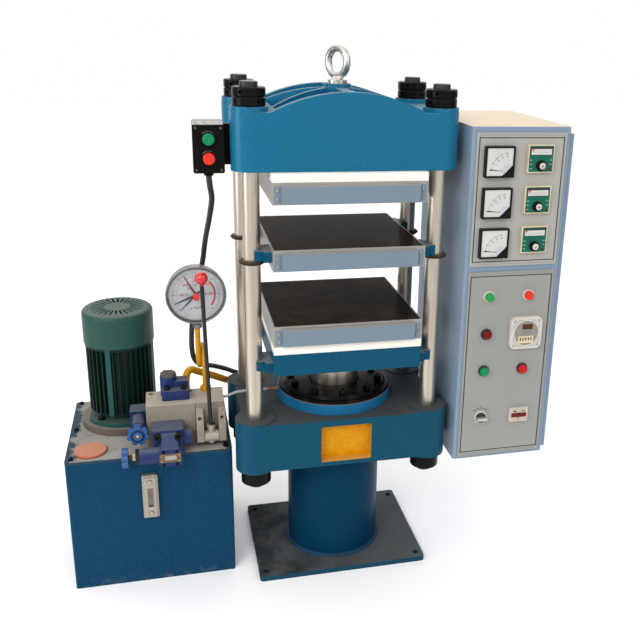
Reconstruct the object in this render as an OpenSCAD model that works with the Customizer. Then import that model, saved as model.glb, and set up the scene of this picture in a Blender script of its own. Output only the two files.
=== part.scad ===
// Four-column upstroke vulcanizing press with two daylights, its hydraulic unit and its control cabinet.
// Millimetres, +Z up, front towards -Y, origin on the floor under the ram axis.

/* [Base and cylinder] */
// Width of the base plate
base_w = 490; // [430:1:600]
// Depth of the base plate
base_d = 386; // [330:1:480]
// Thickness of the base plate
base_t = 15; // [10:1:30]
// Corner radius of the base plate
base_corner = 10; // [4:1:25]
// Anchor holes' distance from the plate's side edges
anchor_in_x = 21; // [16:0.5:40]
// Anchor holes' distance from the plate's front and back edges
anchor_in_y = 27; // [16:0.5:40]
// Diameter of the anchor holes
anchor_d = 18; // [12:0.5:26]
// Outside diameter of the cylinder barrel
barrel_d = 272; // [240:1:300]
// Leg of the weld fillet under the barrel
barrel_weld = 8; // [3:1:15]
// Thickness of the barrel's closed bottom
barrel_bottom = 45; // [25:1:70]
// Diameter of the collar that seats the barrel on the lower beam
collar_d = 330; // [310:1:350]
// Height of the collar
collar_h = 30; // [20:1:45]
// Diameter of the ram
ram_d = 140; // [100:1:160]
// Diameter of the seal pocket in the barrel's mouth
pocket_d = 176; // [168:1:190]
// Depth of the seal pocket
pocket_depth = 66; // [50:1:90]
// Diameter of the gland disc
gland_d = 324; // [304:1:328]
// Height of the gland disc's rim
gland_rim = 10; // [6:1:16]
// Height of the raised middle of the gland disc
gland_step = 8; // [4:1:14]
// Diameter of the raised middle of the gland disc
gland_step_d = 296; // [280:1:302]
// Circle of the gland bolts
gland_pcd = 256; // [240:1:262]
// Thread diameter of the gland bolts
gland_bolt = 14; // [10:1:18]
// Number of gland bolts
gland_bolts_n = 10; // [6:1:12]

/* [Columns and beams] */
// Diameter of the columns
column_d = 45; // [38:0.5:52]
// Column spacing across the width
column_dx = 492; // [484:1:560]
// Column spacing across the depth
column_dy = 272; // [250:1:300]
// Height of the lower beam's top face
beam_top = 491; // [450:1:540]
// Height of the lower beam
beam_h = 139; // [110:1:170]
// Boss radius at the lower beam's corners
beam_boss_r = 55; // [46:0.5:62]
// Raised land under the lower beam's bosses
beam_pad = 8; // [3:1:15]
// Raised land on top of the lower beam's bosses
beam_land = 3; // [1:0.5:8]
// Set-back of the beams' side walls between the bosses
side_recess = 20; // [10:1:30]
// Width of the window recess in the lower beam's front
recess_w = 142; // [100:1:200]
// Height of the window recess
recess_h = 108; // [70:1:120]
// Depth of the window recess
recess_depth = 26; // [12:1:40]
// Corner radius of the window recess
recess_r = 5; // [3:1:25]
// Height of the crown's underside
crown_bottom = 1175; // [1120:1:1240]
// Height of the crown at the nut seats
crown_h = 156; // [130:1:190]
// Boss radius at the crown's corners
crown_boss_r = 48; // [44:0.5:60]
// Drop of the crown's valley below the nut seats
valley_drop = 12; // [6:1:20]
// Rise of the crown's arch above the valley
arch_rise = 50; // [30:1:70]
// Thickness of the crown's front and back walls
crown_wall = 26; // [16:1:36]
// Thickness of the crown's diagonal ribs
crown_rib = 18; // [10:1:28]
// Thickness of the crown's middle rib
crown_spine = 30; // [20:1:44]
// Depth of the crown's pockets below the valley
pocket_floor = 34; // [15:1:60]
// Radius of the eyebolt's boss
eye_boss_r = 36; // [30:1:44]
// Rise of the eyebolt's boss above the arch
eye_boss_rise = 9; // [4:1:20]

/* [Column nuts and eyebolt] */
// Outside diameter of the column nuts
nut_d = 82; // [70:1:90]
// Height of one upper nut
nut_h = 23; // [16:1:30]
// Height of a lower nut
nut_low_h = 44; // [30:1:60]
// Length of column beyond its nuts
column_tail = 13; // [6:1:30]
// Diameter of the spanner holes in the upper nuts
spanner_d = 8; // [5:0.5:11]
// Diameter of the eyebolt's shank
eye_shank_d = 24; // [16:1:30]
// Length of the eyebolt's shank
eye_shank_l = 36; // [24:1:60]
// Diameter of the eyebolt's collar
eye_collar_d = 52; // [40:1:64]
// Height of the eyebolt's collar
eye_collar_h = 10; // [6:1:16]
// Radius from the eye's middle to the middle of its section
eye_ring_r = 35; // [28:1:44]
// Thickness of the eye's section
eye_bar_d = 20; // [14:1:24]
// Turn of the eye about its shank
eye_turn = -58; // [-90:1:90]

/* [Platens] */
// Width of the heat plates
plate_w = 400; // [360:1:410]
// Depth of the heat plates
plate_d = 406; // [380:1:450]
// Thickness of the heat plates
plate_t = 56; // [45:1:70]
// Thickness of the insulation boards
insulation_t = 22; // [12:1:30]
// Open space over the middle plate
daylight_upper = 116; // [90:1:130]
// Open space under the middle plate
daylight_lower = 148; // [120:1:160]
// Thickness of the moving table
table_t = 60; // [48:1:80]
// Diameter of the heater rods
heater_d = 17; // [12:0.5:22]
// Number of heater rods in a plate
heater_n = 6; // [4:1:8]
// Spacing of the heater rods
heater_pitch = 60; // [40:1:62]
// Height of the terminal covers
cover_h = 43; // [36:1:44]
// Distance of a cover above the plate's lower edge
cover_up = 4; // [2:0.5:8]
// Length of a cover's end flange
cover_flange = 18; // [12:1:30]
// Distance of a cover's end from the plate's side
cover_inset = 4; // [0:0.5:12]
// Depth of a cover
cover_depth = 12; // [8:0.5:24]
// Sheet thickness of a cover
cover_sheet = 1.5; // [1:0.1:3]
// Thickness of the guide ears
ear_t = 27; // [18:1:34]
// Width of a guide ear at the plate
ear_w = 86; // [70:1:100]
// Width of a guide ear's fork
ear_tip_w = 58; // [54:1:68]
// Length of a guide ear's wide root
ear_root = 20; // [10:1:22]
// Set-back of a fork's tip from the column's middle
ear_short = 6; // [3:1:14]
// Distance of the middle plate's ears below its top
ear_drop = 10; // [4:1:24]
// Distance of the table's ears below its top
table_ear_drop = 31; // [29:0.5:32]
// Outside diameter of the support rings
ring_d = 67; // [56:1:72]
// Height of the support rings
ring_h = 10; // [6:1:14]

/* [Oil tank] */
// Width of the tank
tank_w = 441; // [420:1:520]
// Depth of the tank
tank_d = 386; // [360:1:460]
// Height of the tank with its lid
tank_h = 395; // [340:1:450]
// Distance of the tank's front from the ram axis
tank_front = 115; // [95:1:135]
// Gap between the tank and the lower beam
tank_gap = 8; // [4:0.5:20]
// Sheet thickness of the tank
tank_sheet = 5; // [3:0.5:8]
// Edge radius of the tank
tank_edge = 8; // [6:0.5:16]
// Thickness of the tank's lid
lid_t = 8; // [5:0.5:14]
// Diameter of the filler cap
filler_d = 86; // [70:1:96]
// Height of the filler cap above the lid
filler_h = 7; // [4:0.5:12]
// Diameter of the filler neck's hole
filler_hole = 66; // [50:1:68]
// Width of the level gauge
level_w = 42; // [32:1:52]
// Height of the level gauge
level_h = 131; // [100:1:160]
// Depth of the level gauge
level_d = 20; // [14:1:26]

/* [Motor and pump] */
// Distance of the motor's axis from the tank's right side
motor_in = 294; // [285:1:305]
// Distance of the motor's axis from the tank's front
motor_back = 249; // [240:1:258]
// Diameter of the mounting ring
mount_ring_d = 236; // [226:1:240]
// Height of the mounting ring
mount_ring_h = 20; // [12:1:30]
// Diameter of the motor's flange
flange_d = 208; // [196:1:214]
// Width of the motor's flange across its flats
flange_flat = 186; // [180:1:196]
// Thickness of the motor's flange
flange_t = 11; // [7:1:16]
// Height of the motor's end shield
shield_h = 19; // [12:1:28]
// Diameter of the motor's frame at the root of its fins
frame_d = 162; // [150:1:170]
// Diameter over the fins
fin_d = 186; // [176:1:188]
// Thickness of a fin
fin_t = 3.2; // [2:0.2:5]
// Number of fins
fin_n = 36; // [24:1:44]
// Length of the finned frame
frame_l = 204; // [170:1:230]
// Diameter of the fan cowl
cowl_d = 194; // [192:1:202]
// Height of the fan cowl
cowl_h = 96; // [84:1:120]
// Sheet thickness of the fan cowl
cowl_sheet = 2; // [1.2:0.1:3]
// Shoulder radius of the fan cowl
cowl_r = 14; // [6:1:24]
// Number of grille slots in the fan cowl
slot_n = 28; // [16:1:36]
// Width of a grille slot
slot_w = 5; // [3:0.5:6]
// Diameter of the motor's shaft
shaft_d = 24; // [18:1:30]
// Diameter of the rotor's core
core_d = 90; // [70:1:100]
// Outside diameter of the pump's bell housing
bell_d = 140; // [130:1:160]
// Height of the pump's bell housing
bell_h = 87; // [70:1:110]
// Width of the pump's body
pump_w = 100; // [80:1:120]
// Height of the pump's body
pump_h = 100; // [80:1:120]
// Diameter of the suction strainer
strainer_d = 80; // [60:1:96]
// Height of the suction strainer
strainer_h = 130; // [100:1:150]

/* [Valves] */
// Distance of the hand valve from the tank's right side
valve_in = 14; // [8:1:24]
// Width of the hand valve
hand_w = 79; // [74:1:90]
// Width of the manifold block
block_w = 133; // [120:1:150]
// Depth of the manifold block
block_d = 100; // [92:1:102]
// Height of the manifold block
block_h = 122; // [110:1:140]
// Distance of the manifold block from the tank's front
block_back = 50; // [44:1:60]
// Width of a cheek of the hand valve
cheek_w = 19; // [16:1:23]
// Reach of the cheeks in front of the hand valve
cheek_out = 42; // [38:1:44]
// Distance of the lever's pivot in front of the hand valve
pivot_out = 22; // [21:0.5:24]
// Height of the lever's pivot above the lid
pivot_up = 31; // [26:1:40]
// Diameter of the lever's hub
hub_d = 32; // [28:1:36]
// Diameter of the lever's pivot pin
pivot_d = 16; // [10:0.5:18]
// Diameter of the lever's rod
rod_d = 11; // [8:0.5:14]
// Length from the lever's pivot to its ball
lever_l = 458; // [380:1:480]
// Diameter of the lever's ball
ball_d = 35; // [28:1:42]
// Sideways lean of the lever
lever_lean = 1.4; // [0:0.1:1.6]
// Depth of the relief valve's upper block
relief_d = 64; // [58:1:72]
// Width of the relief valve's upper block
relief_w = 82; // [70:1:90]
// Height of the relief valve's upper block
relief_h = 72; // [60:1:80]
// Diameter of the relief valve's adjuster barrel
adjuster_d = 44; // [36:1:46]
// Length of the relief valve's adjuster barrel
adjuster_l = 35; // [28:1:40]
// Diameter of the adjusters' stems
stem_d = 12; // [8:0.5:16]
// Diameter of the relief valve's handwheel
relief_wheel_d = 55; // [46:1:60]
// Thickness of the relief valve's handwheel
relief_wheel_t = 16; // [10:1:20]
// Diameter of the side valve's star handwheel
star_d = 57; // [48:1:60]
// Thickness of the star handwheel
star_t = 13; // [8:1:18]
// Number of lobes on a handwheel
star_n = 7; // [5:1:9]
// Width of the side valve's block
side_w = 45; // [42:1:48]
// Depth of the side valve's block
side_d = 50; // [40:1:58]
// Height of the side valve's block
side_h = 56; // [46:1:60]
// Width of the top valve's base
top_w = 74; // [64:1:80]
// Depth of the top valve's base
top_d = 72; // [66:1:74]
// Height of the top valve's base
top_h = 28; // [20:1:36]
// Height of the top valve's round tower above its foot
tower_h = 29; // [22:1:40]
// Diameter of the top valve's round tower
tower_d = 46; // [38:1:50]
// Height of the top valve's shoulder beside the tower
shoulder_h = 16; // [10:1:22]

/* [Pressure gauge and pipes] */
// Diameter of the gauge's case
gauge_d = 164; // [150:1:168]
// Depth of the gauge's case
gauge_depth = 46; // [38:1:52]
// Height of the gauge's middle above the manifold block
gauge_up = 291; // [270:1:310]
// Distance of the siphon's foot behind the block's front
siphon_back = 87; // [80:1:95]
// Distance of the siphon's foot from the hand valve's left side
siphon_in = 32; // [26:1:40]
// Sideways shift of the siphon over its turn
siphon_shift = 16; // [15:0.5:20]
// Diameter of the siphon's pipe
siphon_d = 15; // [11:0.5:16]
// Radius of the siphon's turn
siphon_r = 29; // [26:1:33]
// Height of the siphon's turn above the manifold block
siphon_turn_up = 97; // [88:1:110]
// Diameter of the pressure pipe
pipe_d = 21; // [16:1:24]
// Height of the barrel's oil port
port_z = 250; // [200:1:300]
// Diameter of the barrel's port boss
port_boss_d = 46; // [38:1:56]
// Reach of the port boss behind the barrel
port_out = 16; // [8:1:24]
// Diameter of the gland's drain hose
hose_d = 8; // [6:0.5:10]
// Diameter of the button box's conduit
conduit_d = 15; // [12:0.5:18]

/* [Button box] */
// Width of the button box
box_w = 76; // [64:1:90]
// Height of the button box
box_h = 127; // [110:1:150]
// Depth of the button box
box_d = 60; // [46:1:70]
// Thickness of the button box's cover
box_lid = 6; // [4:0.5:10]
// Gap between the button box and the crown's bosses
box_gap = 14; // [8:1:24]
// Distance of the button box's bottom below the crown's underside
box_down = 7; // [0:1:20]
// Distance of the button box's back in front of the ram axis
box_front = 84; // [80:1:88]
// Thickness of the button box's bracket
box_plate = 6; // [4:0.5:10]
// Diameter of the buttons' caps
button_d = 29; // [22:0.5:31]
// Spacing of the two station buttons
button_pitch = 47; // [42:1:54]
// Travel of the buttons
button_travel = 4; // [2:0.5:6]

/* [Control cabinet] */
// Gap between the lower beam and the cabinet
cabinet_gap = 14; // [6:1:30]
// Width of the cabinet
cabinet_w = 277; // [272:1:320]
// Depth of the cabinet
cabinet_d = 412; // [360:1:460]
// Distance of the cabinet's front from the ram axis
cabinet_front = 196; // [180:1:210]
// Rise of the cabinet's top above the crown's underside
cabinet_rise = 114; // [105:1:130]
// Drop of the cabinet's bottom below the lower beam's top
cabinet_drop = 155; // [150:1:180]
// Sheet thickness of the cabinet
cabinet_sheet = 2.5; // [1.5:0.1:4]
// Edge radius of the cabinet
cabinet_edge = 5; // [4:0.5:8]
// Thickness of the side door
door_t = 16; // [8:1:20]
// Width of the instrument panels
panel_w = 252; // [246:1:262]
// Height of the upper panel
panel_up_h = 358; // [346:1:366]
// Height of the lower panel
panel_low_h = 555; // [530:1:566]
// Gap between the two panels
panel_gap = 16; // [8:1:24]
// Distance of the upper panel below the cabinet's top
panel_top = 15; // [8:1:26]
// Thickness of the panels
panel_t = 3; // [2:0.5:5]
// Width of an ammeter
meter_w = 82; // [70:1:90]
// Depth of an ammeter's frame
meter_out = 14; // [8:1:20]
// Width of a temperature controller
control_w = 74; // [64:1:80]
// Depth of a temperature controller's bezel
control_out = 10; // [6:1:16]
// Spacing of the instrument rows
row_pitch = 109; // [96:1:112]
// Ammeters' middle from the panel's left edge
meter_in = 62; // [56:1:70]
// Temperature controllers' middle from the panel's right edge
control_in = 74; // [64:1:80]
// Diameter of the temperature knobs
knob_d = 28; // [20:1:30]
// Reach of the temperature knobs
knob_out = 13; // [8:1:20]
// Diameter of the lamps
lamp_d = 27; // [20:1:34]
// Width of the timer
timer_w = 94; // [80:1:96]
// Width of the counter
counter_w = 56; // [48:1:72]
// Height of the counter
counter_h = 42; // [32:1:52]
// Diameter of the selector
selector_d = 30; // [24:1:38]

/* [Hidden] */
$fn = 72;
eps = 0.01;
fit = 0.15;
slip = 0.3;
run = 0.08;
seat = 0.3;

// Heights of the stack, from the crown down
column_x = column_dx / 2;
column_y = column_dy / 2;
column_r = column_d / 2;
crown_seat = crown_bottom + crown_h;
valley_z = crown_seat - valley_drop;
arch_top = valley_z + arch_rise;
arch_half = column_x - crown_boss_r;
arch_r = (arch_half * arch_half + arch_rise * arch_rise) / (2 * arch_rise);
eye_seat = arch_top + eye_boss_rise;
eye_mid = eye_seat + eye_collar_h + eye_ring_r + eye_bar_d / 2;
upper_bottom = crown_bottom - insulation_t - plate_t;
middle_top = upper_bottom - daylight_upper;
middle_bottom = middle_top - plate_t;
lower_top = middle_bottom - daylight_lower;
lower_bottom = lower_top - plate_t;
table_top = lower_bottom - insulation_t;
table_bottom = table_top - table_t;
ear_bottom = middle_top - ear_drop - ear_t;
ring_top = ear_bottom - seat;
beam_bottom = beam_top - beam_h;
beam_foot = beam_bottom - beam_pad;
beam_front = column_y + beam_boss_r;
crown_side = column_x + crown_boss_r - side_recess;
beam_side = column_x + beam_boss_r - side_recess;
crown_depth = 2 * (column_y + crown_boss_r);
column_low = beam_foot - nut_low_h - column_tail;
column_high = crown_seat + 2 * nut_h + column_tail;
recess_mid = beam_bottom + beam_h / 2 - 3;
chamfer = 2;
arch_lap = 6;

// Anchor holes
anchor_dx = base_w - 2 * anchor_in_x;
anchor_dy = base_d - 2 * anchor_in_y;

// Cylinder and gland
collar_top = beam_top + collar_h;
gland_top = collar_top + gland_rim + gland_step;
bore_r = ram_d / 2 + 2;
pocket_z = collar_top - pocket_depth;
ram_low = base_t + barrel_bottom + 15;
bush_h = pocket_depth * 0.6;
bolt_head_h = gland_bolt;
bolt_head_r = gland_bolt * 0.75;
bolt_depth = 22;

// Oil tank and what stands on it
tank_x1 = -(column_x + beam_boss_r + tank_gap);
tank_x0 = tank_x1 - tank_w;
tank_y0 = -tank_front;
tank_y1 = tank_y0 + tank_d;
tank_mid_x = (tank_x0 + tank_x1) / 2;
tank_mid_y = (tank_y0 + tank_y1) / 2;
lid_z = tank_h - lid_t;
filler_x = tank_x0 + 64;
filler_y = tank_y0 + 55;
level_x = tank_x0 + 216;
level_z = tank_h - 118;
motor_x = tank_x1 - motor_in;
motor_y = tank_y0 + motor_back;
flange_z = tank_h + mount_ring_h;
shield_z = flange_z + flange_t;
frame_z = shield_z + shield_h;
cowl_z = frame_z + frame_l;
cowl_top = cowl_z + cowl_h;
lip_h = 8;
shaft_hole = mount_ring_d / 2 - 58;
pump_z = lid_z - bell_h - pump_h;
fan_z = cowl_z + lip_h + 14;
fan_h = 44;

// Valves
hand_x1 = tank_x1 - valve_in;
hand_x0 = hand_x1 - hand_w;
hand_mid = (hand_x0 + hand_x1) / 2;
block_x1 = hand_x0;
block_x0 = block_x1 - block_w;
block_y0 = tank_y0 + block_back;
block_y1 = block_y0 + block_d;
block_top = tank_h + block_h;
pivot_y = block_y0 - pivot_out;
pivot_z = tank_h + pivot_up;
hub_l = hand_w - 2 * cheek_w - 2;
relief_x0 = block_x0 + 15;
relief_y1 = block_y0 - relief_d;
relief_z0 = tank_h + 5;
pilot_d = 46;
pilot_w = relief_w - 20;
pilot_h = 50;
pilot_shift = 3.5;
lock_l = 10;
lock_nut_l = 8;
pilot_y = relief_y1 - pilot_d / 2 + 6;
pilot_z = tank_h + 16;
wheel_gap = 11;
relief_wheel_x = relief_x0 - adjuster_l - lock_l - lock_nut_l - wheel_gap;
side_x = block_x0 - side_w / 2;
side_y0 = block_y0 + 44;
side_z = tank_h + 62;
snout_d = side_w - 2;
snout_l = 56;
star_y = side_y0 - snout_l - 26;
top_x = block_x0 + 44 + top_w / 2;
top_y0 = block_y0 + block_d - top_d;
shoulder_y = top_y0 + 30;
tower_x = top_x - 18;
tower_y = top_y0 + top_d - tower_d / 2;
cap_r = 21.5;
cap_t = 9;

// Gauge and siphon
siphon_x = hand_x0 + siphon_in;
siphon_y = block_y0 + siphon_back;
gauge_x = siphon_x - siphon_shift;
gauge_z = block_top + gauge_up;
gauge_y0 = siphon_y - gauge_depth / 2;
gauge_r = gauge_d / 2;
stem_z = gauge_z - gauge_r - 18;
turn_z = block_top + siphon_turn_up;
glass_y = gauge_y0 + 3;
glass_t = 2;
limit_y = gauge_y0 + 7;
needle_y = gauge_y0 + 9.5;
dial_y = gauge_y0 + 13;
needle_t = 1.2;

// Routes of the pipes and hoses
pipe_start = [block_x1 - 19, block_y1, block_top - 34];
pipe_end = [0, barrel_d / 2 + port_out, port_z];
pipe_y = beam_front + pipe_d / 2 + 17;
pipe_route = [pipe_start, pipe_start + [0, 9, 0], pipe_start + [0, 18, 0], pipe_start + [-1, 44, 9],
    pipe_start + [-2, 63, 31], pipe_start + [3, 75, 53], pipe_start + [16, 84, 59], pipe_start + [32, 93, 49],
    pipe_start + [56, 107, 34], pipe_start + [85, 126, 15], pipe_start + [114, 150, -8],
    pipe_start + [140, 170, -26],
    [6 - column_x, pipe_y, beam_top - 61], [-180, pipe_y + 6, port_z + 130], [-110, pipe_y + 2, port_z + 70],
    [-45, pipe_end[1] + 56, port_z + 20], pipe_end + [0, 32, 0], pipe_end + [0, 14, 0], pipe_end];
drain_route = [[-323, -20, 511], [-318.5, -20, 511], [-314, -20, 511], [-302, -21, 516], [-286, -22.5, 522],
    [-262, -24.5, 525.5], [-236, -26, 527], [-210, -27, 527.5], [-184, -28, 528], [-172, -28, 528]];
conduit_route = [[-346, -111, 1168], [-346, -111, 1154], [-344, -106, 1130], [-339, -74, 1090], [-345, -24, 1028],
    [-352, 26, 974], [-357, 54, 932], [-362, 66, 892], [-372, 74, 841], [-382, 82, 789], [-392, 88, 738],
    [-399, 88, 690], [-402, 86, 645], [-401, 88, 608], [-395, 95, 583], [-384, 108, 565], [-366, 127, 551],
    [-345, 149, 538], [-322, 169, 523], [-298, 187, 507], [-273, 203, 489], [-235, 215, 472], [-190, 221, 459],
    [-130, 223, 446], [-60, 224, 438], [10, 224, 434], [80, 222, 434], [150, 219, 437], [210, 212, 442],
    [262, 202, 447], [290, 196, 449], [314, 194, 450]];

// Button box
box_x1 = -(column_x + crown_boss_r + box_gap);
box_x0 = box_x1 - box_w;
box_mid = (box_x0 + box_x1) / 2;
box_y1 = -box_front;
box_y0 = box_y1 - box_d;
box_z0 = crown_bottom - box_down;
button_r = button_d / 2;
button_z = box_z0 + box_h / 2 - 3;
collar_t = 5;
button_out = 11;

// Control cabinet
cabinet_x0 = column_x + beam_boss_r + cabinet_gap;
cabinet_x1 = cabinet_x0 + cabinet_w;
cabinet_mid = (cabinet_x0 + cabinet_x1) / 2;
cabinet_y0 = -cabinet_front;
cabinet_y1 = cabinet_y0 + cabinet_d;
cabinet_z0 = beam_top - cabinet_drop;
cabinet_z1 = crown_bottom + cabinet_rise;
panel_y = cabinet_y0 - panel_t;
panel_up_z = cabinet_z1 - panel_top - panel_up_h;
panel_low_z = panel_up_z - panel_gap - panel_low_h;
meter_x = cabinet_mid - panel_w / 2 + meter_in;
control_x = cabinet_mid + panel_w / 2 - control_in;
meter_back = 50;
control_back = 80;
timer_back = 60;
lamp_back = 30;
meter_z = panel_up_z + panel_up_h - 74;
control_z = meter_z + 7;
knob_drop = 17;
switch_r = button_r - 2.5;
switch_z = panel_low_z + panel_low_h - 70;
timer_z = switch_z - 110;
lamp_z = timer_z - 110;
selector_z = lamp_z - 144;

// Rounded rectangle from squares and circles
module rrect(w, d, r) {
    square([w - 2 * r, d], center = true);
    square([w, d - 2 * r], center = true);
    for (sx = [-1, 1]) {
        for (sy = [-1, 1]) {
            translate([sx * (w / 2 - r), sy * (d / 2 - r)]) circle(r);
        }
    }
}

// Copies at the four columns
module at_columns() {
    for (sx = [-1, 1]) {
        for (sy = [-1, 1]) {
            translate([sx * column_x, sy * column_y, 0]) children();
        }
    }
}

// Turned ring
module ring(ro, ri, h) {
    difference() {
        cylinder(r = ro, h = h);
        translate([0, 0, -1]) cylinder(r = ri, h = h + 2);
    }
}

// Solid that grows out of a face towards the front
module to_front(x, y, z) {
    translate([x, y, z]) rotate([90, 0, 0]) children();
}

// Solid that grows along +X
module to_right(x, y, z) {
    translate([x, y, z]) rotate([0, 90, 0]) children();
}

// Smooth curve through chosen points
function cr(a, b, c, d, t) = 0.5 * ((2 * b) + (c - a) * t + (2 * a - 5 * b + 4 * c - d) * t * t
    + (3 * b - a - 3 * c + d) * t * t * t);
function smooth(p, k) = [for (i = [0 : len(p) - 2]) for (j = [0 : k - 1])
    cr(p[max(i - 1, 0)], p[i], p[i + 1], p[min(i + 2, len(p) - 1)], j / k), p[len(p) - 1]];
function unit(v) = v / norm(v);
function tangent(p, i) = unit(p[min(i + 1, len(p) - 1)] - p[max(i - 1, 0)]);
function carry(n, t) = unit(n - (n * t) * t);
function normals(p, i, n) = i >= len(p) ? [] : let (m = carry(n, tangent(p, i))) concat([m], normals(p, i + 1, m));

// Round tube along points, with flat ends
module tube(p, r, sides, n0) {
    nn = normals(p, 0, n0);
    count = len(p);
    points = [for (i = [0 : count - 1]) let (t = tangent(p, i), b = cross(t, nn[i])) for (k = [0 : sides - 1])
        p[i] + r * (cos(360 * k / sides) * nn[i] + sin(360 * k / sides) * b)];
    walls = [for (i = [0 : count - 2]) for (k = [0 : sides - 1]) for (h = [0, 1])
        let (a = i * sides + k, b = i * sides + (k + 1) % sides)
        h == 0 ? [a, a + sides, b + sides] : [a, b + sides, b]];
    first = [for (k = [1 : sides - 2]) [0, k, k + 1]];
    o = (count - 1) * sides;
    last = [for (k = [1 : sides - 2]) [o, o + k + 1, o + k]];
    polyhedron(points = points, faces = concat(walls, first, last));
}

// Outline of a beam: round bosses, a flat front and back, and set-back sides
module beam_plan(r) {
    square([column_dx, column_dy + 2 * r], center = true);
    square([column_dx + 2 * (r - side_recess), column_dy], center = true);
    for (sx = [-1, 1]) {
        for (sy = [-1, 1]) {
            translate([sx * column_x, sy * column_y]) circle(r);
        }
    }
}

module base_plate() {
    color([0.25, 0.28, 0.3])
    difference() {
        linear_extrude(base_t) rrect(base_w, base_d, base_corner);
        for (sx = [-1, 1]) {
            for (sy = [-1, 1]) {
                translate([sx * anchor_dx / 2, sy * anchor_dy / 2, -1]) cylinder(d = anchor_d, h = base_t + 2);
            }
        }
    }
}

module gland_holes(d) {
    for (k = [0 : gland_bolts_n - 1]) {
        rotate((k + 0.5) * 360 / gland_bolts_n)
            translate([gland_pcd / 2, 0, collar_top - bolt_depth]) cylinder(d = d, h = gland_top);
    }
}

module cylinder_barrel() {
    br = barrel_d / 2;
    color([0.1, 0.35, 0.55])
    difference() {
        union() {
            rotate_extrude() polygon([[0, base_t], [br + barrel_weld, base_t], [br, base_t + barrel_weld],
                [br, beam_top], [collar_d / 2, beam_top], [collar_d / 2, collar_top - chamfer],
                [collar_d / 2 - chamfer, collar_top], [pocket_d / 2, collar_top], [pocket_d / 2, pocket_z],
                [bore_r, pocket_z], [bore_r, base_t + barrel_bottom], [0, base_t + barrel_bottom]]);
            translate([0, br + port_out, port_z]) rotate([90, 0, 0]) cylinder(d = port_boss_d, h = port_out + 20);
        }
        gland_holes(gland_bolt + 2 * fit);
        translate([0, br + port_out + 1, port_z]) rotate([90, 0, 0]) cylinder(d = pipe_d * 0.6, h = br);
    }
}

module lower_beam() {
    color([0.1, 0.4, 0.55])
    difference() {
        union() {
            translate([0, 0, beam_bottom]) linear_extrude(beam_h) beam_plan(beam_boss_r);
            at_columns() translate([0, 0, beam_foot]) cylinder(r = beam_boss_r, h = beam_h + beam_pad + beam_land);
        }
        at_columns() translate([0, 0, beam_foot - 1]) cylinder(r = column_r + fit, h = beam_h + beam_pad + beam_land + 2);
        translate([0, 0, beam_bottom - 1]) cylinder(r = barrel_d / 2 + fit, h = beam_h + 2);
        to_front(0, -beam_front + recess_depth, recess_mid)
            linear_extrude(recess_depth + 1) rrect(recess_w, recess_h, recess_r);
    }
}

module columns() {
    color([0.75, 0.72, 0.66])
    at_columns() rotate_extrude() polygon([[0, column_low], [column_r - chamfer, column_low],
        [column_r, column_low + chamfer], [column_r, column_high - chamfer],
        [column_r - chamfer, column_high], [0, column_high]]);
}

// Plan of the crown's top pockets between its walls and ribs
module crown_pockets() {
    pw = 2 * arch_half - crown_wall;
    pd = crown_depth - 2 * crown_wall;
    difference() {
        square([pw, pd], center = true);
        circle(eye_boss_r + 6);
        square([crown_spine, crown_depth], center = true);
        for (s = [-1, 1]) {
            rotate(s * atan2(column_dy, column_dx)) square([2 * column_dx, crown_rib], center = true);
        }
    }
}

module crown_beam() {
    color([0.1, 0.4, 0.55])
    difference() {
        union() {
            translate([0, 0, crown_bottom]) linear_extrude(crown_h - valley_drop) beam_plan(crown_boss_r);
            at_columns() translate([0, 0, valley_z - arch_lap]) cylinder(r = crown_boss_r - 1, h = valley_drop + arch_lap);
            intersection() {
                translate([0, crown_depth / 2, arch_top - arch_r]) rotate([90, 0, 0]) cylinder(r = arch_r, h = crown_depth, $fn = 180);
                translate([-arch_half - arch_lap, -crown_depth / 2 - 1, valley_z - 20])
                    cube([2 * (arch_half + arch_lap), crown_depth + 2, arch_rise + 40]);
            }
            translate([0, 0, valley_z - 20]) cylinder(r = eye_boss_r, h = eye_seat - valley_z + 20);
        }
        at_columns() translate([0, 0, crown_bottom - 1]) cylinder(r = column_r + fit, h = crown_h + 2);
        translate([0, 0, valley_z - pocket_floor]) linear_extrude(pocket_floor + arch_rise + 20) crown_pockets();
        translate([0, 0, eye_seat - eye_shank_l - 4]) cylinder(d = eye_shank_d + 2 * fit, h = eye_shank_l + 10);
    }
}

// Round nut with chamfered edges
module round_nut(h) {
    c = 2.5;
    rotate_extrude() polygon([[column_r + fit, 0], [nut_d / 2 - c, 0], [nut_d / 2, c], [nut_d / 2, h - c],
        [nut_d / 2 - c, h], [column_r + fit, h]]);
}

module column_nuts() {
    color([0.1, 0.1, 0.11]) {
        at_columns() for (k = [0, 1]) {
            translate([0, 0, crown_seat + k * nut_h]) difference() {
                round_nut(nut_h);
                for (a = [0 : 90 : 270]) {
                    rotate(a + 30 + 25 * k) translate([nut_d / 2 - 10, 0, nut_h / 2]) rotate([0, 90, 0])
                        cylinder(d = spanner_d, h = 20, $fn = 24);
                }
            }
        }
        at_columns() translate([0, 0, beam_foot - nut_low_h]) round_nut(nut_low_h);
    }
}

module lifting_eyebolt() {
    color([0.8, 0.8, 0.78])
    translate([0, 0, eye_seat]) {
        cylinder(d = eye_collar_d, h = eye_collar_h);
        translate([0, 0, -eye_shank_l]) cylinder(d = eye_shank_d, h = eye_shank_l + 1);
        translate([0, 0, eye_collar_h - eps]) cylinder(r1 = eye_collar_d / 2 - 5, r2 = eye_bar_d / 2, h = eye_bar_d / 2);
        translate([0, 0, eye_mid - eye_seat]) rotate(eye_turn) rotate([90, 0, 0])
            rotate_extrude() translate([eye_ring_r, 0]) circle(d = eye_bar_d, $fn = 40);
    }
}

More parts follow.
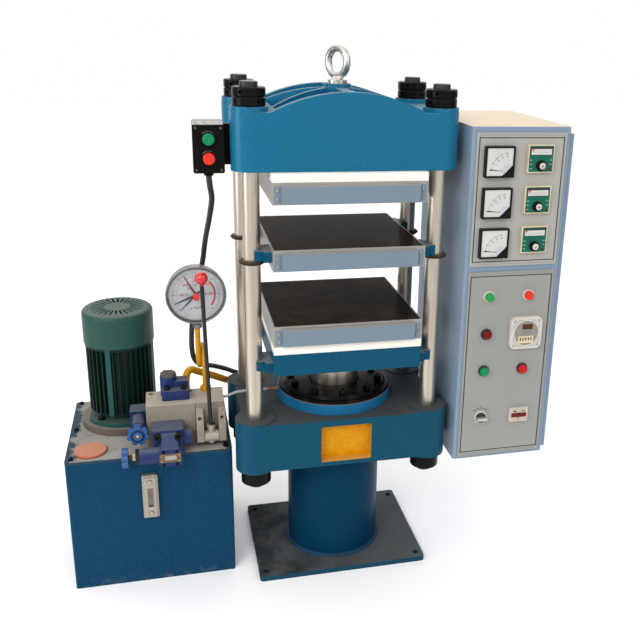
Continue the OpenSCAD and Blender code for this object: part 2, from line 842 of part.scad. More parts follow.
module gland_ring() {
    ri = ram_d / 2 + slip;
    bushing_r = pocket_d / 2 - fit;
    color([0.08, 0.08, 0.09]) {
        difference() {
            rotate_extrude() polygon([[ri, collar_top], [gland_d / 2, collar_top], [gland_d / 2, collar_top + gland_rim - chamfer],
                [gland_d / 2 - chamfer, collar_top + gland_rim], [gland_step_d / 2 + 3, collar_top + gland_rim],
                [gland_step_d / 2 - 3, gland_top], [ri + 5, gland_top], [ri, gland_top - 5]]);
            gland_holes(gland_bolt + 2 * fit);
        }
        translate([0, 0, pocket_z]) ring(bushing_r, ram_d / 2 + run, bush_h - fit);
        translate([0, 0, pocket_z + bush_h]) ring(bushing_r, ram_d / 2 + slip, pocket_depth - bush_h - fit);
    }
}

module gland_bolts() {
    color([0.12, 0.12, 0.13])
    for (k = [0 : gland_bolts_n - 1]) {
        rotate((k + 0.5) * 360 / gland_bolts_n) translate([gland_pcd / 2, 0, 0]) difference() {
            union() {
                translate([0, 0, gland_top]) cylinder(r = bolt_head_r, h = bolt_head_h, $fn = 32);
                translate([0, 0, collar_top - bolt_depth]) cylinder(d = gland_bolt, h = gland_top - collar_top + bolt_depth + 1, $fn = 32);
            }
            translate([0, 0, gland_top + bolt_head_h / 2]) cylinder(d = gland_bolt * 0.86, h = bolt_head_h, $fn = 6);
        }
    }
}

module insulation(z) {
    color([0.9, 0.88, 0.8])
    translate([0, 0, z]) linear_extrude(insulation_t) square([plate_w, plate_d], center = true);
}

module upper_insulation() {
    insulation(crown_bottom - insulation_t);
}

module lower_insulation() {
    insulation(table_top);
}

// Places of the heater rods in a plate
module at_heaters(z) {
    for (k = [0 : heater_n - 1]) {
        translate([(k - (heater_n - 1) / 2) * heater_pitch, -plate_d / 2, z + plate_t / 2]) rotate([-90, 0, 0]) children();
    }
}

// Heat plate with its rods in their bores
module heat_plate(z) {
    rod_l = plate_d - 26;
    color([0.3, 0.29, 0.27]) {
        difference() {
            translate([0, 0, z]) linear_extrude(plate_t) square([plate_w, plate_d], center = true);
            at_heaters(z) translate([0, 0, -1]) cylinder(d = heater_d + 2 * fit, h = rod_l + 2, $fn = 32);
        }
        at_heaters(z) {
            cylinder(d = heater_d, h = rod_l, $fn = 32);
            translate([0, 0, -cover_depth / 2]) cylinder(d = heater_d / 3, h = cover_depth / 2 + 1, $fn = 16);
        }
    }
}

module upper_heat_plate() {
    heat_plate(upper_bottom);
}

module middle_heat_plate() {
    heat_plate(middle_bottom);
}

module lower_heat_plate() {
    heat_plate(lower_bottom);
}

// Folded terminal cover with a flange at each end
module plate_cover(z) {
    cw = plate_w - 2 * cover_inset;
    pan_w = cw - 2 * cover_flange;
    color([0.6, 0.68, 0.82])
    to_front(0, -plate_d / 2, z + cover_up + cover_h / 2) difference() {
        union() {
            linear_extrude(cover_sheet) square([cw, cover_h], center = true);
            linear_extrude(cover_depth) square([pan_w, cover_h], center = true);
        }
        translate([0, 0, -1]) linear_extrude(cover_depth + 1 - cover_sheet)
            square([pan_w - 2 * cover_sheet, cover_h - 2 * cover_sheet], center = true);
    }
}

module upper_plate_cover() {
    plate_cover(upper_bottom);
}

module middle_plate_cover() {
    plate_cover(middle_bottom);
}

module lower_plate_cover() {
    plate_cover(lower_bottom);
}

// Fork that guides a plate on the column of the first quadrant
module ear_plan() {
    x0 = plate_w / 2;
    difference() {
        union() {
            translate([x0, column_y - ear_w / 2]) square([ear_root, ear_w]);
            translate([x0, column_y - ear_tip_w / 2]) square([column_x - ear_short - x0, ear_tip_w]);
        }
        translate([column_x, column_y]) circle(column_r + slip);
    }
}

module ears(z) {
    for (mx = [0, 1]) {
        for (my = [0, 1]) {
            mirror([mx, 0, 0]) mirror([0, my, 0]) translate([0, 0, z]) linear_extrude(ear_t) ear_plan();
        }
    }
}

module middle_guides() {
    color([0.1, 0.4, 0.6]) ears(ear_bottom);
}

module support_rings() {
    c = ring_h / 3;
    color([0.14, 0.11, 0.09])
    at_columns() translate([0, 0, ring_top - ring_h]) rotate_extrude()
        polygon([[column_r + fit, 0], [ring_d / 2 - c, 0], [ring_d / 2, c], [ring_d / 2, ring_h - c],
            [ring_d / 2 - c, ring_h], [column_r + fit, ring_h]]);
}

module ram() {
    color([0.75, 0.72, 0.66])
    rotate_extrude() polygon([[0, ram_low], [ram_d / 2 - 4, ram_low], [ram_d / 2, ram_low + 4],
        [ram_d / 2, table_bottom], [0, table_bottom]]);
}

module moving_table() {
    color([0.1, 0.4, 0.55])
    union() {
        translate([0, 0, table_bottom]) linear_extrude(table_t) square([plate_w, plate_d], center = true);
        ears(table_top - table_ear_drop - ear_t);
    }
}

module oil_tank() {
    color([0.1, 0.28, 0.42])
    translate([tank_mid_x, tank_mid_y, 0]) difference() {
        linear_extrude(lid_z) rrect(tank_w, tank_d, tank_edge);
        translate([0, 0, tank_sheet]) linear_extrude(lid_z)
            rrect(tank_w - 2 * tank_sheet, tank_d - 2 * tank_sheet, tank_edge - tank_sheet / 2);
    }
}

module tank_lid() {
    color([0.5, 0.52, 0.52])
    difference() {
        translate([tank_mid_x, tank_mid_y, lid_z]) linear_extrude(lid_t) rrect(tank_w, tank_d, tank_edge);
        translate([filler_x, filler_y, lid_z - 1]) cylinder(d = filler_hole, h = lid_t + 2);
        translate([motor_x, motor_y, lid_z - 1]) cylinder(r = shaft_hole, h = lid_t + 2);
    }
}

module filler_cap() {
    color([0.85, 0.4, 0.28])
    translate([filler_x, filler_y, tank_h]) {
        rotate_extrude() polygon([[0, 0], [filler_d / 2, 0], [filler_d / 2, filler_h - 2], [filler_d / 2 - 2, filler_h],
            [0, filler_h]]);
        translate([0, 0, -lid_t - 6]) ring(filler_hole / 2 - slip, filler_hole / 2 - 4, lid_t + 7);
    }
}

module level_gauge() {
    slot = level_w / 3;
    color([0.8, 0.79, 0.74])
    to_front(level_x, tank_y0, level_z) {
        difference() {
            union() {
                linear_extrude(level_d - 6) rrect(level_w, level_h, 5);
                linear_extrude(level_d - 3) rrect(level_w - 5, level_h - 5, 4);
                linear_extrude(level_d) rrect(level_w - 11, level_h - 11, 3);
            }
            translate([0, 0, level_d / 2]) linear_extrude(level_d) rrect(slot, level_h * 0.58, slot / 2 - 0.5);
        }
        translate([0, -level_h * 0.24, level_d / 2 + 5]) rotate([-90, 0, 0]) cylinder(d = 5, h = level_h * 0.48, $fn = 20);
        for (s = [-1, 1]) {
            translate([-2.5, s * level_h * 0.24 - 3, level_d / 2 - 1]) cube([5, 6, 7]);
        }
    }
}

module motor_mount_ring() {
    color([0.42, 0.37, 0.32])
    translate([motor_x, motor_y, tank_h]) ring(mount_ring_d / 2, shaft_hole, mount_ring_h);
}

// Cross-section of the finned frame with four broad ribs
module fin_plan() {
    circle(d = frame_d);
    for (k = [0 : fin_n - 1]) {
        rotate(k * 360 / fin_n) translate([0, -fin_t / 2]) square([fin_d / 2, fin_t]);
    }
    for (k = [0 : 3]) {
        rotate(k * 90 + 252) translate([0, -7]) square([fin_d / 2 + 1, 14]);
    }
}

module motor_housing() {
    color([0.1, 0.27, 0.22])
    translate([motor_x, motor_y, 0]) difference() {
        union() {
            translate([0, 0, flange_z]) linear_extrude(flange_t) intersection() {
                circle(d = flange_d);
                square([flange_flat, flange_d], center = true);
            }
            translate([0, 0, shield_z]) cylinder(r1 = frame_d / 2 - 14, r2 = frame_d / 2, h = shield_h);
            translate([0, 0, frame_z]) linear_extrude(frame_l) fin_plan();
            translate([0, 0, cowl_z - lip_h]) cylinder(r = cowl_d / 2 - cowl_sheet - fit, h = 2 * lip_h);
        }
        translate([0, 0, frame_z]) cylinder(d = core_d + 2, h = frame_l - lip_h - 4);
        translate([0, 0, flange_z - 1]) cylinder(d = shaft_d + 2 * slip, h = cowl_top);
    }
}

module motor_fan_cowl() {
    cr0 = cowl_d / 2;
    ci = cr0 - cowl_sheet;
    hi = cowl_h - cowl_sheet;
    ri = cowl_r - cowl_sheet;
    color([0.16, 0.36, 0.3])
    translate([motor_x, motor_y, cowl_z]) difference() {
        rotate_extrude() difference() {
            union() {
                square([cr0 - cowl_r, cowl_h]);
                square([cr0, cowl_h - cowl_r]);
                translate([cr0 - cowl_r, cowl_h - cowl_r]) circle(cowl_r);
            }
            union() {
                translate([0, -1]) square([ci - ri, hi + 1]);
                translate([0, -1]) square([ci, hi - ri + 1]);
                translate([ci - ri, hi - ri]) circle(ri);
            }
        }
        for (k = [0 : slot_n - 1]) {
            rotate(k * 360 / slot_n) translate([cr0 * 0.38, -slot_w / 2, hi - 1]) cube([cr0 * 0.38, slot_w, cowl_sheet + 2]);
        }
    }
}

module motor_rotor() {
    color([0.5, 0.5, 0.5])
    translate([motor_x, motor_y, 0]) {
        translate([0, 0, pump_z + pump_h - 20]) cylinder(d = shaft_d, h = fan_z + fan_h + 6 - pump_z - pump_h + 20);
        translate([0, 0, frame_z + 10]) cylinder(d = core_d, h = frame_l - lip_h - 24);
        translate([0, 0, fan_z]) cylinder(d = shaft_d + 16, h = fan_h);
        for (k = [0 : 7]) {
            rotate(k * 45) translate([shaft_d / 2, -1.5, fan_z]) cube([cowl_d / 2 - 12 - shaft_d / 2, 3, fan_h]);
        }
    }
}

module gear_pump() {
    color([0.35, 0.36, 0.37])
    translate([motor_x, motor_y, 0]) difference() {
        union() {
            translate([0, 0, pump_z + pump_h]) cylinder(d = bell_d, h = bell_h);
            translate([-pump_w / 2, -pump_w / 2, pump_z]) cube([pump_w, pump_w, pump_h + 1]);
            translate([0, 0, pump_z - 16]) cylinder(d = pump_w / 3, h = 17);
            translate([0, 0, pump_z - 15 - strainer_h]) cylinder(d = strainer_d, h = strainer_h);
        }
        translate([0, 0, pump_z + pump_h + 12]) cylinder(d = bell_d - 36, h = bell_h);
        translate([0, 0, pump_z + pump_h - 20]) cylinder(d = shaft_d + 2 * slip, h = bell_h);
    }
}

module manifold_block() {
    c = 3;
    color([0.75, 0.72, 0.66])
    translate([(block_x0 + block_x1) / 2, (block_y0 + block_y1) / 2, tank_h]) difference() {
        linear_extrude(block_h) rrect(block_w, block_d, c);
        for (s = [-1, 1]) {
            translate([s * (block_w / 2 - 14), block_d / 2 - 14, block_h - 12]) cylinder(d = 15, h = 20);
        }
        to_front(s_relief_x() - (block_x0 + block_x1) / 2, -block_d / 2 + 40, block_h / 2) cylinder(d = 16, h = 60);
    }
}

function s_relief_x() = relief_x0 + relief_w / 2;

module relief_valve() {
    px = s_relief_x();
    face_y = pilot_y - pilot_d / 2;
    cut = 9;
    screw_z = relief_z0 + relief_h - 16;
    color([0.15, 0.17, 0.33]) {
        difference() {
            union() {
                translate([px, block_y0 - relief_d / 2, relief_z0]) linear_extrude(relief_h) rrect(relief_w, relief_d, 8);
                to_front(px + pilot_shift, face_y + pilot_d, pilot_z) linear_extrude(pilot_d) polygon([
                    for (q = [[1, 1], [-1, 1], [-1, -1], [1, -1]]) for (k = q[0] * q[1] > 0 ? [0, 1] : [1, 0])
                    [q[0] * pilot_w / 2, q[1] * pilot_h / 2] - cut * (k == 0 ? [0, q[1]] : [q[0], 0])]);
                translate([px + pilot_shift - 22, 0, 0]) rotate([90, 0, 90]) linear_extrude(44) polygon([
                    [relief_y1 + 2, pilot_z], [relief_y1 + 2, relief_z0 + relief_h - 6], [relief_y1 - 5, relief_z0 + relief_h - 10],
                    [face_y + 8, pilot_z + pilot_h / 2 - 1], [face_y + 8, pilot_z]]);
                to_right(relief_x0 - adjuster_l, pilot_y, pilot_z) cylinder(d = adjuster_d, h = adjuster_l + 30);
                to_right(relief_x0 - adjuster_l - lock_l, pilot_y, pilot_z) cylinder(d = adjuster_d + 1, h = lock_l + 1, $fn = 8);
                to_right(relief_x0 - adjuster_l - lock_l - lock_nut_l, pilot_y, pilot_z) cylinder(d = 22, h = lock_nut_l + 1, $fn = 6);
                to_right(relief_x0 + relief_w - 5, block_y0 - relief_d / 2, relief_z0 + relief_h / 2) cylinder(d = 44, h = 27);
            }
            for (s = [-1, 1]) {
                to_front(px + s * relief_w * 0.34, relief_y1 + 10, screw_z) cylinder(d = 21, h = 40, $fn = 32);
            }
            to_right(relief_x0 - adjuster_l - 40, pilot_y, pilot_z) cylinder(d = stem_d + 2 * slip, h = 80);
        }
        for (s = [-1, 1]) {
            to_front(px + s * relief_w * 0.34, relief_y1 + 10, screw_z) difference() {
                cylinder(d = 20, h = 17, $fn = 32);
                translate([0, 0, 9]) cylinder(d = 11, h = 10, $fn = 6);
            }
        }
    }
}

// Lobed handwheel
module star(d, t) {
    lobe = d * 0.15;
    linear_extrude(t) {
        circle(d = d - 1.6 * lobe);
        for (k = [0 : star_n - 1]) {
            rotate(k * 360 / star_n + 90) translate([d / 2 - lobe, 0]) circle(lobe);
        }
    }
}

module relief_handwheel() {
    color([0.15, 0.4, 0.75])
    to_right(relief_wheel_x, pilot_y, pilot_z) {
        translate([0, 0, -relief_wheel_t]) star(relief_wheel_d, relief_wheel_t);
        translate([0, 0, -eps]) cylinder(d = stem_d, h = wheel_gap + 45);
    }
}

module side_valve() {
    color([0.15, 0.17, 0.33])
    difference() {
        union() {
            translate([side_x, side_y0 + side_d / 2, side_z - side_h / 2]) linear_extrude(side_h) rrect(side_w, side_d, 3);
            to_front(side_x, side_y0 + 1, side_z) cylinder(d = snout_d, h = snout_l + 1);
            to_front(side_x, side_y0 - snout_l, side_z) cylinder(d1 = snout_d - 4, d2 = snout_d - 14, h = 10);
        }
        to_front(side_x, side_y0, side_z) cylinder(d = stem_d + 2 * slip, h = snout_l + 30);
    }
}

module side_handwheel() {
    color([0.15, 0.4, 0.75])
    to_front(side_x, star_y, side_z) {
        star(star_d, star_t);
        cylinder(d = star_d * 0.42, h = star_t + 4);
        translate([0, 0, -40]) cylinder(d = stem_d, h = 41);
    }
}

module top_valve() {
    top_z = block_top + top_h;
    color([0.15, 0.17, 0.33]) {
        difference() {
            union() {
                translate([top_x, top_y0 + top_d / 2, block_top]) linear_extrude(top_h) rrect(top_w, top_d, 6);
                translate([tower_x, tower_y, block_top]) cylinder(d = tower_d, h = top_h + tower_h);
                translate([tower_x, tower_y, top_z + tower_h - 1]) cylinder(r = cap_r, h = cap_t + 1, $fn = 6);
                translate([tower_x, shoulder_y, top_z - 1])
                    cube([top_x + top_w / 2 - 4 - tower_x, top_y0 + top_d - 3 - shoulder_y, shoulder_h + 1]);
            }
            for (s = [-1, 1]) {
                translate([top_x + s * top_w * 0.31, top_y0 + 16, top_z - 8]) cylinder(d = 17, h = 8 + tower_h, $fn = 32);
            }
        }
        for (s = [-1, 1]) {
            translate([top_x + s * top_w * 0.31, top_y0 + 16, top_z - 8]) difference() {
                cylinder(d = 16, h = 18, $fn = 32);
                translate([0, 0, 10]) cylinder(d = 9, h = 10, $fn = 6);
            }
        }
    }
}

module hand_valve() {
    cheek_z = tank_h + 22;
    cheek_y = block_y0 - cheek_out;
    color([0.75, 0.72, 0.66])
    difference() {
        union() {
            translate([hand_mid, (block_y0 + block_y1) / 2, tank_h]) linear_extrude(block_h) rrect(hand_w, block_d, 4);
            for (x = [hand_x0, hand_x1 - cheek_w]) {
                translate([x, 0, 0]) rotate([90, 0, 90]) linear_extrude(cheek_w) polygon([[cheek_y, cheek_z],
                    [cheek_y, pivot_z + 31], [block_y0 - 10, block_top - 17], [block_y0 + 5, block_top - 17],
                    [block_y0 + 5, tank_h + 6], [block_y0 - 12, tank_h + 6]]);
            }
            to_right(hand_x0 + 2, pivot_y, pivot_z) cylinder(d = pivot_d, h = hand_w - 4);
            to_right(hand_x1 - 4, block_y0 + 30, pivot_z) cylinder(d = 30, h = 14);
        }
        for (x = [hand_x0 + cheek_w / 2, hand_x1 - cheek_w / 2]) {
            to_front(x, block_y0 - 6, block_top - 38) cylinder(d = 10, h = 60, $fn = 24);
        }
    }
}

module hand_lever() {
    color([0.1, 0.1, 0.1])
    translate([hand_mid, pivot_y, pivot_z]) {
        difference() {
            union() {
                translate([-hub_l / 2, 0, 0]) rotate([0, 90, 0]) cylinder(d = hub_d, h = hub_l);
                translate([0, 0, -18]) cylinder(d = rod_d + 10, h = 18);
            }
            translate([-hub_l, 0, 0]) rotate([0, 90, 0]) cylinder(d = pivot_d + 2 * run, h = 2 * hub_l);
        }
        rotate([0, -lever_lean, 0]) {
            translate([0, 0, hub_d / 2 - 4]) cylinder(d = rod_d + 10, h = 18);
            translate([0, 0, hub_d / 2 + 13]) cylinder(d = rod_d + 13, h = 6);
            translate([0, 0, hub_d / 2 - 4]) cylinder(d = rod_d, h = lever_l - hub_d / 2);
            translate([0, 0, lever_l]) sphere(d = ball_d);
        }
    }
}

// Turned parts about the gauge's axis
module gauge_turn(y) {
    translate([gauge_x, y, gauge_z]) rotate([-90, 0, 0]) children();
}

module gauge_case() {
    color([0.1, 0.1, 0.1])
    difference() {
        union() {
            gauge_turn(0) rotate_extrude() polygon([[0, dial_y], [gauge_r - 7, dial_y], [gauge_r - 7, glass_y + glass_t],
                [gauge_r - 4, glass_y + glass_t], [gauge_r - 4, gauge_y0 + 1], [gauge_r - 2, gauge_y0],
                [gauge_r, gauge_y0 + 2], [gauge_r, gauge_y0 + 16], [gauge_r - 3, gauge_y0 + 18],
                [gauge_r - 3, gauge_y0 + gauge_depth - 4], [gauge_r - 7, gauge_y0 + gauge_depth], [0, gauge_y0 + gauge_depth]]);
            gauge_turn(needle_y - 0.5) cylinder(d = 4, h = dial_y - needle_y + 1, $fn = 24);
            translate([gauge_x, siphon_y, stem_z]) cylinder(d = 26, h = 12, $fn = 6);
            translate([gauge_x, siphon_y, stem_z + 10]) cylinder(d = 17, h = 24);
        }
    }
}

module gauge_glass() {
    color([0.8, 0.9, 0.9, 0.3])
    gauge_turn(glass_y) ring(gauge_r - 4 - fit, 4, glass_t);
}

module gauge_pointer() {
    color([0.05, 0.05, 0.05])
    gauge_turn(needle_y) difference() {
        union() {
            cylinder(r = 6, h = needle_t, $fn = 32);
            rotate(135) linear_extrude(needle_t) polygon([[-14, -2], [-14, 2], [gauge_r - 24, 0.8], [gauge_r - 24, -0.8]]);
        }
        translate([0, 0, -1]) cylinder(r = 2 + slip, h = 5, $fn = 24);
    }
}

module gauge_set_knob() {
    color([0.75, 0.12, 0.1]) {
        gauge_turn(limit_y) for (a = [158, 240]) {
            rotate(a) linear_extrude(needle_t) polygon([[0, -3], [0, 3], [gauge_r - 18, 1], [gauge_r - 18, -1]]);
        }
        gauge_turn(gauge_y0 - 4) cylinder(r = 4 - slip, h = limit_y - gauge_y0 + 4 + needle_t, $fn = 24);
        gauge_turn(gauge_y0 - 16) cylinder(r = 9, h = 14, $fn = 24);
    }
}

// Siphon with one round turn between its two straight legs
module gauge_siphon() {
    turn = [for (k = [0 : 30]) let (a = 12 * k) [gauge_x + siphon_shift * k / 30,
        siphon_y + siphon_r - siphon_r * cos(a), turn_z - siphon_r * sin(a)]];
    route = concat([[gauge_x, siphon_y, stem_z], [gauge_x, siphon_y, turn_z + 26], [gauge_x, siphon_y, turn_z + 8]],
        turn, [[siphon_x, siphon_y, turn_z - 8], [siphon_x, siphon_y, turn_z - 26], [siphon_x, siphon_y, block_top + 6]]);
    color([0.9, 0.62, 0.1]) {
        tube(route, siphon_d / 2, 12, [0, 1, 0]);
        translate([siphon_x, siphon_y, block_top]) cylinder(d = 26, h = 14, $fn = 6);
    }
}

module pressure_pipe() {
    color([0.9, 0.62, 0.1]) {
        tube(smooth(pipe_route, 5), pipe_d / 2, 12, [0, 0, 1]);
        translate(pipe_start + [0, 16, 0]) rotate([90, 0, 0]) cylinder(d = pipe_d + 12, h = 16, $fn = 6);
        translate(pipe_end + [0, 18, 0]) rotate([90, 0, 0]) cylinder(d = pipe_d + 12, h = 18, $fn = 6);
    }
}

module drain_hose() {
    color([0.6, 0.6, 0.62]) tube(smooth(drain_route, 2), hose_d / 2, 10, [0, 0, 1]);
}

module button_conduit() {
    color([0.15, 0.15, 0.16]) tube(smooth(conduit_route, 2), conduit_d / 2, 10, [0, 1, 0]);
}

// Fixed collar of a push button on a face at y
module button_collar(x, y, z, r = button_r) {
    to_front(x, y, z) ring(r + 4, r + slip, collar_t);
}

// Push button's cap and plunger in a blind hole of a face at y
module button(x, y, z, r = button_r) {
    to_front(x, y + button_travel + 1, z) cylinder(r = r * 0.6, h = 2 * button_travel + 2);
    to_front(x, y - button_travel - 0.5, z) rotate_extrude() polygon([[0, 0], [r, 0],
        [r, button_out - 2.5], [r - 2.5, button_out], [0, button_out]]);
}

// Blind hole under a push button
module button_hole(x, y, z, r = button_r) {
    to_front(x, y + 2 * button_travel + 3, z) cylinder(r = r * 0.6 + slip, h = 2 * button_travel + 4);
}

module button_box() {
    color([0.6, 0.6, 0.58]) {
        difference() {
            union() {
                to_front(box_mid, box_y1, box_z0 + box_h / 2) linear_extrude(box_d - box_lid) rrect(box_w - 3, box_h - 3, 4);
                to_front(box_mid, box_y0 + box_lid, box_z0 + box_h / 2) linear_extrude(box_lid) rrect(box_w, box_h, 5);
                translate([box_x0 + 6, box_y1 - eps, box_z0 + 12]) cube([-crown_side - box_x0 - 6, box_plate, box_h - 24]);
                translate([box_mid, (box_y0 + box_y1) / 2 + box_lid / 2, box_z0 - 10]) cylinder(d = conduit_d + 9, h = 14);
                for (s = [-1, 1]) {
                    button_collar(box_mid, box_y0, button_z + s * button_pitch / 2);
                }
            }
            for (s = [-1, 1]) {
                button_hole(box_mid, box_y0, button_z + s * button_pitch / 2);
            }
            translate([box_mid, (box_y0 + box_y1) / 2 + box_lid / 2, box_z0 - 11]) cylinder(d = conduit_d + 2 * slip, h = 13);
        }
    }
}

module station_start_button() {
    color([0.15, 0.6, 0.3]) button(box_mid, box_y0, button_z + button_pitch / 2);
}

module station_stop_button() {
    color([0.75, 0.15, 0.12]) button(box_mid, box_y0, button_z - button_pitch / 2);
}

// Bracket between a beam's side wall and the cabinet
module bracket(x0, z0, h) {
    bd = 2 * column_y - 2 * beam_boss_r - 20;
    t = 12;
    difference() {
        translate([x0, -bd / 2, z0]) cube([cabinet_x0 - x0, bd, h]);
        translate([x0 - 1, -bd / 2 + t, z0 + t]) cube([cabinet_x0 - x0 + 2, bd - 2 * t, h]);
    }
}

module cabinet_shell() {
    ch = cabinet_z1 - cabinet_z0;
    s2 = 2 * cabinet_sheet;
    border = 22;
    color([0.6, 0.66, 0.72]) {
        difference() {
            translate([cabinet_mid, (cabinet_y0 + cabinet_y1) / 2, cabinet_z0]) difference() {
                linear_extrude(ch) rrect(cabinet_w, cabinet_d, cabinet_edge);
                translate([0, 0, cabinet_sheet]) linear_extrude(ch - s2) rrect(cabinet_w - s2, cabinet_d - s2, cabinet_edge - cabinet_sheet / 2);
            }
            for (p = [[panel_up_z, panel_up_h], [panel_low_z, panel_low_h]]) {
                translate([cabinet_mid - panel_w / 2 + border / 2, cabinet_y0 - 10, p[0] + border / 2])
                    cube([panel_w - border, 20, p[1] - border]);
            }
        }
        translate([cabinet_x1, cabinet_y0 + 14, cabinet_z0 + 8]) cube([door_t, cabinet_d - 28, ch - 28]);
        bracket(crown_side, crown_bottom + 4, 92);
        bracket(beam_side, beam_bottom + 14, 96);
    }
}

// Square cut for an instrument's body in a panel
module panel_cut(x, z, w, h) {
    translate([x - w / 2, panel_y - 1, z - h / 2]) cube([w, panel_t + 2, h]);
}

module instrument_panels() {
    meter_hole = meter_w - 20;
    control_hole = control_w - 8;
    color([0.72, 0.72, 0.7])
    difference() {
        for (p = [[panel_up_z, panel_up_h], [panel_low_z, panel_low_h]]) {
            to_front(cabinet_mid, cabinet_y0, p[0] + p[1] / 2) linear_extrude(panel_t) rrect(panel_w, p[1], 2);
        }
        for (k = [0 : 2]) {
            panel_cut(meter_x, meter_z - k * row_pitch, meter_hole, meter_hole);
            panel_cut(control_x, control_z - k * row_pitch, control_hole, control_hole);
        }
        panel_cut(control_x, timer_z, timer_w - 8, timer_w - 8);
        panel_cut(control_x, selector_z, counter_w - 8, counter_h - 8);
        for (x = [meter_x, control_x]) {
            to_front(x, cabinet_y0 + 1, switch_z) cylinder(r = switch_r + 2, h = panel_t + 2);
            to_front(x, cabinet_y0 + 1, lamp_z) cylinder(d = lamp_d - 6, h = panel_t + 2);
        }
        to_front(meter_x, cabinet_y0 + 1, selector_z) cylinder(d = selector_d - 8, h = panel_t + 2);
        to_front(meter_x, cabinet_y0 + 1, timer_z) cylinder(d = lamp_d - 6, h = panel_t + 2);
    }
}

// Panel instrument: framed face with a sunk dial, and its body behind the panel
module instrument(x, z, w, h, out, sunk, rim, deep, body_w, body_h, corner = 3) {
    to_front(x, panel_y, z) difference() {
        linear_extrude(out) rrect(w, h, corner);
        translate([0, 0, out - sunk]) linear_extrude(sunk + 1) rrect(w - 2 * rim, h - 2 * rim, 1.5);
    }
    to_front(x, panel_y + deep, z) linear_extrude(deep + eps) square([body_w, body_h], center = true);
}

module ammeters() {
    body = meter_w - 20 - 2 * fit;
    color([0.08, 0.08, 0.08])
    for (k = [0 : 2]) {
        instrument(meter_x, meter_z - k * row_pitch, meter_w, meter_w, meter_out, 2, 5, meter_back, body, body);
    }
}

module temperature_controllers() {
    body = control_w - 8 - 2 * fit;
    color([0.8, 0.78, 0.68])
    for (k = [0 : 2]) {
        difference() {
            instrument(control_x, control_z - k * row_pitch, control_w, control_w, control_out, 1.5, 5, control_back, body, body);
            to_front(control_x, panel_y, control_z - k * row_pitch - knob_drop) cylinder(d = 6 + 2 * slip, h = control_out + 2, $fn = 24);
        }
    }
}

module temperature_knob(k) {
    color([0.08, 0.08, 0.08])
    to_front(control_x, panel_y - control_out, control_z - k * row_pitch - knob_drop) {
        translate([0, 0, -control_out + 2]) cylinder(d = 6, h = control_out, $fn = 24);
        rotate_extrude() polygon([[0, -0.5], [knob_d / 2, -0.5], [knob_d / 2, knob_out * 0.35],
            [knob_d / 2 - 3, knob_out * 0.4], [knob_d / 2 - 4, knob_out], [0, knob_out]]);
    }
}

module temperature_knob_upper() {
    temperature_knob(0);
}

module temperature_knob_middle() {
    temperature_knob(1);
}

module temperature_knob_lower() {
    temperature_knob(2);
}

// Signal lamp with a domed lens
module lamp(x, z) {
    to_front(x, panel_y, z) {
        rotate_extrude() polygon([[0, 0], [lamp_d / 2, 0], [lamp_d / 2, 4], [lamp_d / 2 - 3, 7], [lamp_d / 2 - 3, 12],
            [lamp_d / 2 - 6, 15], [0, 16]]);
    }
    to_front(x, panel_y + lamp_back, z) cylinder(d = lamp_d - 6 - 2 * fit, h = lamp_back + eps);
}

module panel_indicators() {
    tb = timer_w - 8 - 2 * fit;
    color([0.6, 0.6, 0.6]) {
        lamp(meter_x, lamp_z);
        lamp(control_x, lamp_z);
        lamp(meter_x, timer_z);
        instrument(control_x, timer_z, timer_w, timer_w, 12, 2, 8, timer_back, tb, tb, 16);
        instrument(control_x, selector_z, counter_w, counter_h, 9, 2, 5, meter_back, counter_w - 8 - 2 * fit, counter_h - 8 - 2 * fit);
        for (x = [meter_x, control_x]) {
            difference() {
                union() {
                    button_collar(x, panel_y, switch_z, switch_r);
                    to_front(x, panel_y + 40, switch_z) cylinder(r = switch_r + 2 - fit, h = 40 + eps);
                }
                button_hole(x, panel_y, switch_z, switch_r);
            }
        }
        difference() {
            union() {
                to_front(meter_x, panel_y, selector_z) cylinder(d = selector_d + 8, h = 4);
                to_front(meter_x, panel_y + 40, selector_z) cylinder(d = selector_d - 8 - 2 * fit, h = 40 + eps);
            }
            to_front(meter_x, panel_y + 8, selector_z) cylinder(d = 10 + 2 * slip, h = 30);
        }
    }
}

module panel_start_button() {
    color([0.15, 0.6, 0.3]) button(meter_x, panel_y, switch_z, switch_r);
}

module panel_stop_button() {
    color([0.75, 0.15, 0.12]) button(control_x, panel_y, switch_z, switch_r);
}

module selector_knob() {
    color([0.08, 0.08, 0.08])
    to_front(meter_x, panel_y - 4, selector_z) {
        translate([0, 0, -10]) cylinder(d = 10, h = 11, $fn = 32);
        translate([0, 0, 0.5]) cylinder(d = selector_d, h = 4);
        translate([-selector_d / 2, -4, 0.5]) cube([selector_d, 8, 17]);
    }
}

base_plate();
cylinder_barrel();
lower_beam();
columns();
crown_beam();
column_nuts();
lifting_eyebolt();
gland_ring();
gland_bolts();
upper_insulation();
upper_heat_plate();
upper_plate_cover();
support_rings();
oil_tank();
tank_lid();
level_gauge();
motor_mount_ring();
motor_housing();
motor_fan_cowl();
gear_pump();
manifold_block();
relief_valve();
side_valve();
top_valve();
hand_valve();
gauge_case();
gauge_glass();
gauge_siphon();
pressure_pipe();
drain_hose();
button_conduit();
button_box();
cabinet_shell();
instrument_panels();
ammeters();
temperature_controllers();
panel_indicators();
ram();
moving_table();
lower_insulation();
lower_heat_plate();
lower_plate_cover();
middle_heat_plate();
middle_guides();
middle_plate_cover();
hand_lever();
relief_handwheel();
side_handwheel();
gauge_pointer();
gauge_set_knob();
temperature_knob_upper();
temperature_knob_middle();
temperature_knob_lower();
station_start_button();
station_stop_button();
panel_start_button();
panel_stop_button();
selector_knob();
motor_rotor();
filler_cap();
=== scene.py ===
"""Looks of the vulcanizing press: finishes of the CAD solids, small trim, cords, stage and camera."""
import math

import bmesh
import bpy
from mathutils import Matrix, Vector


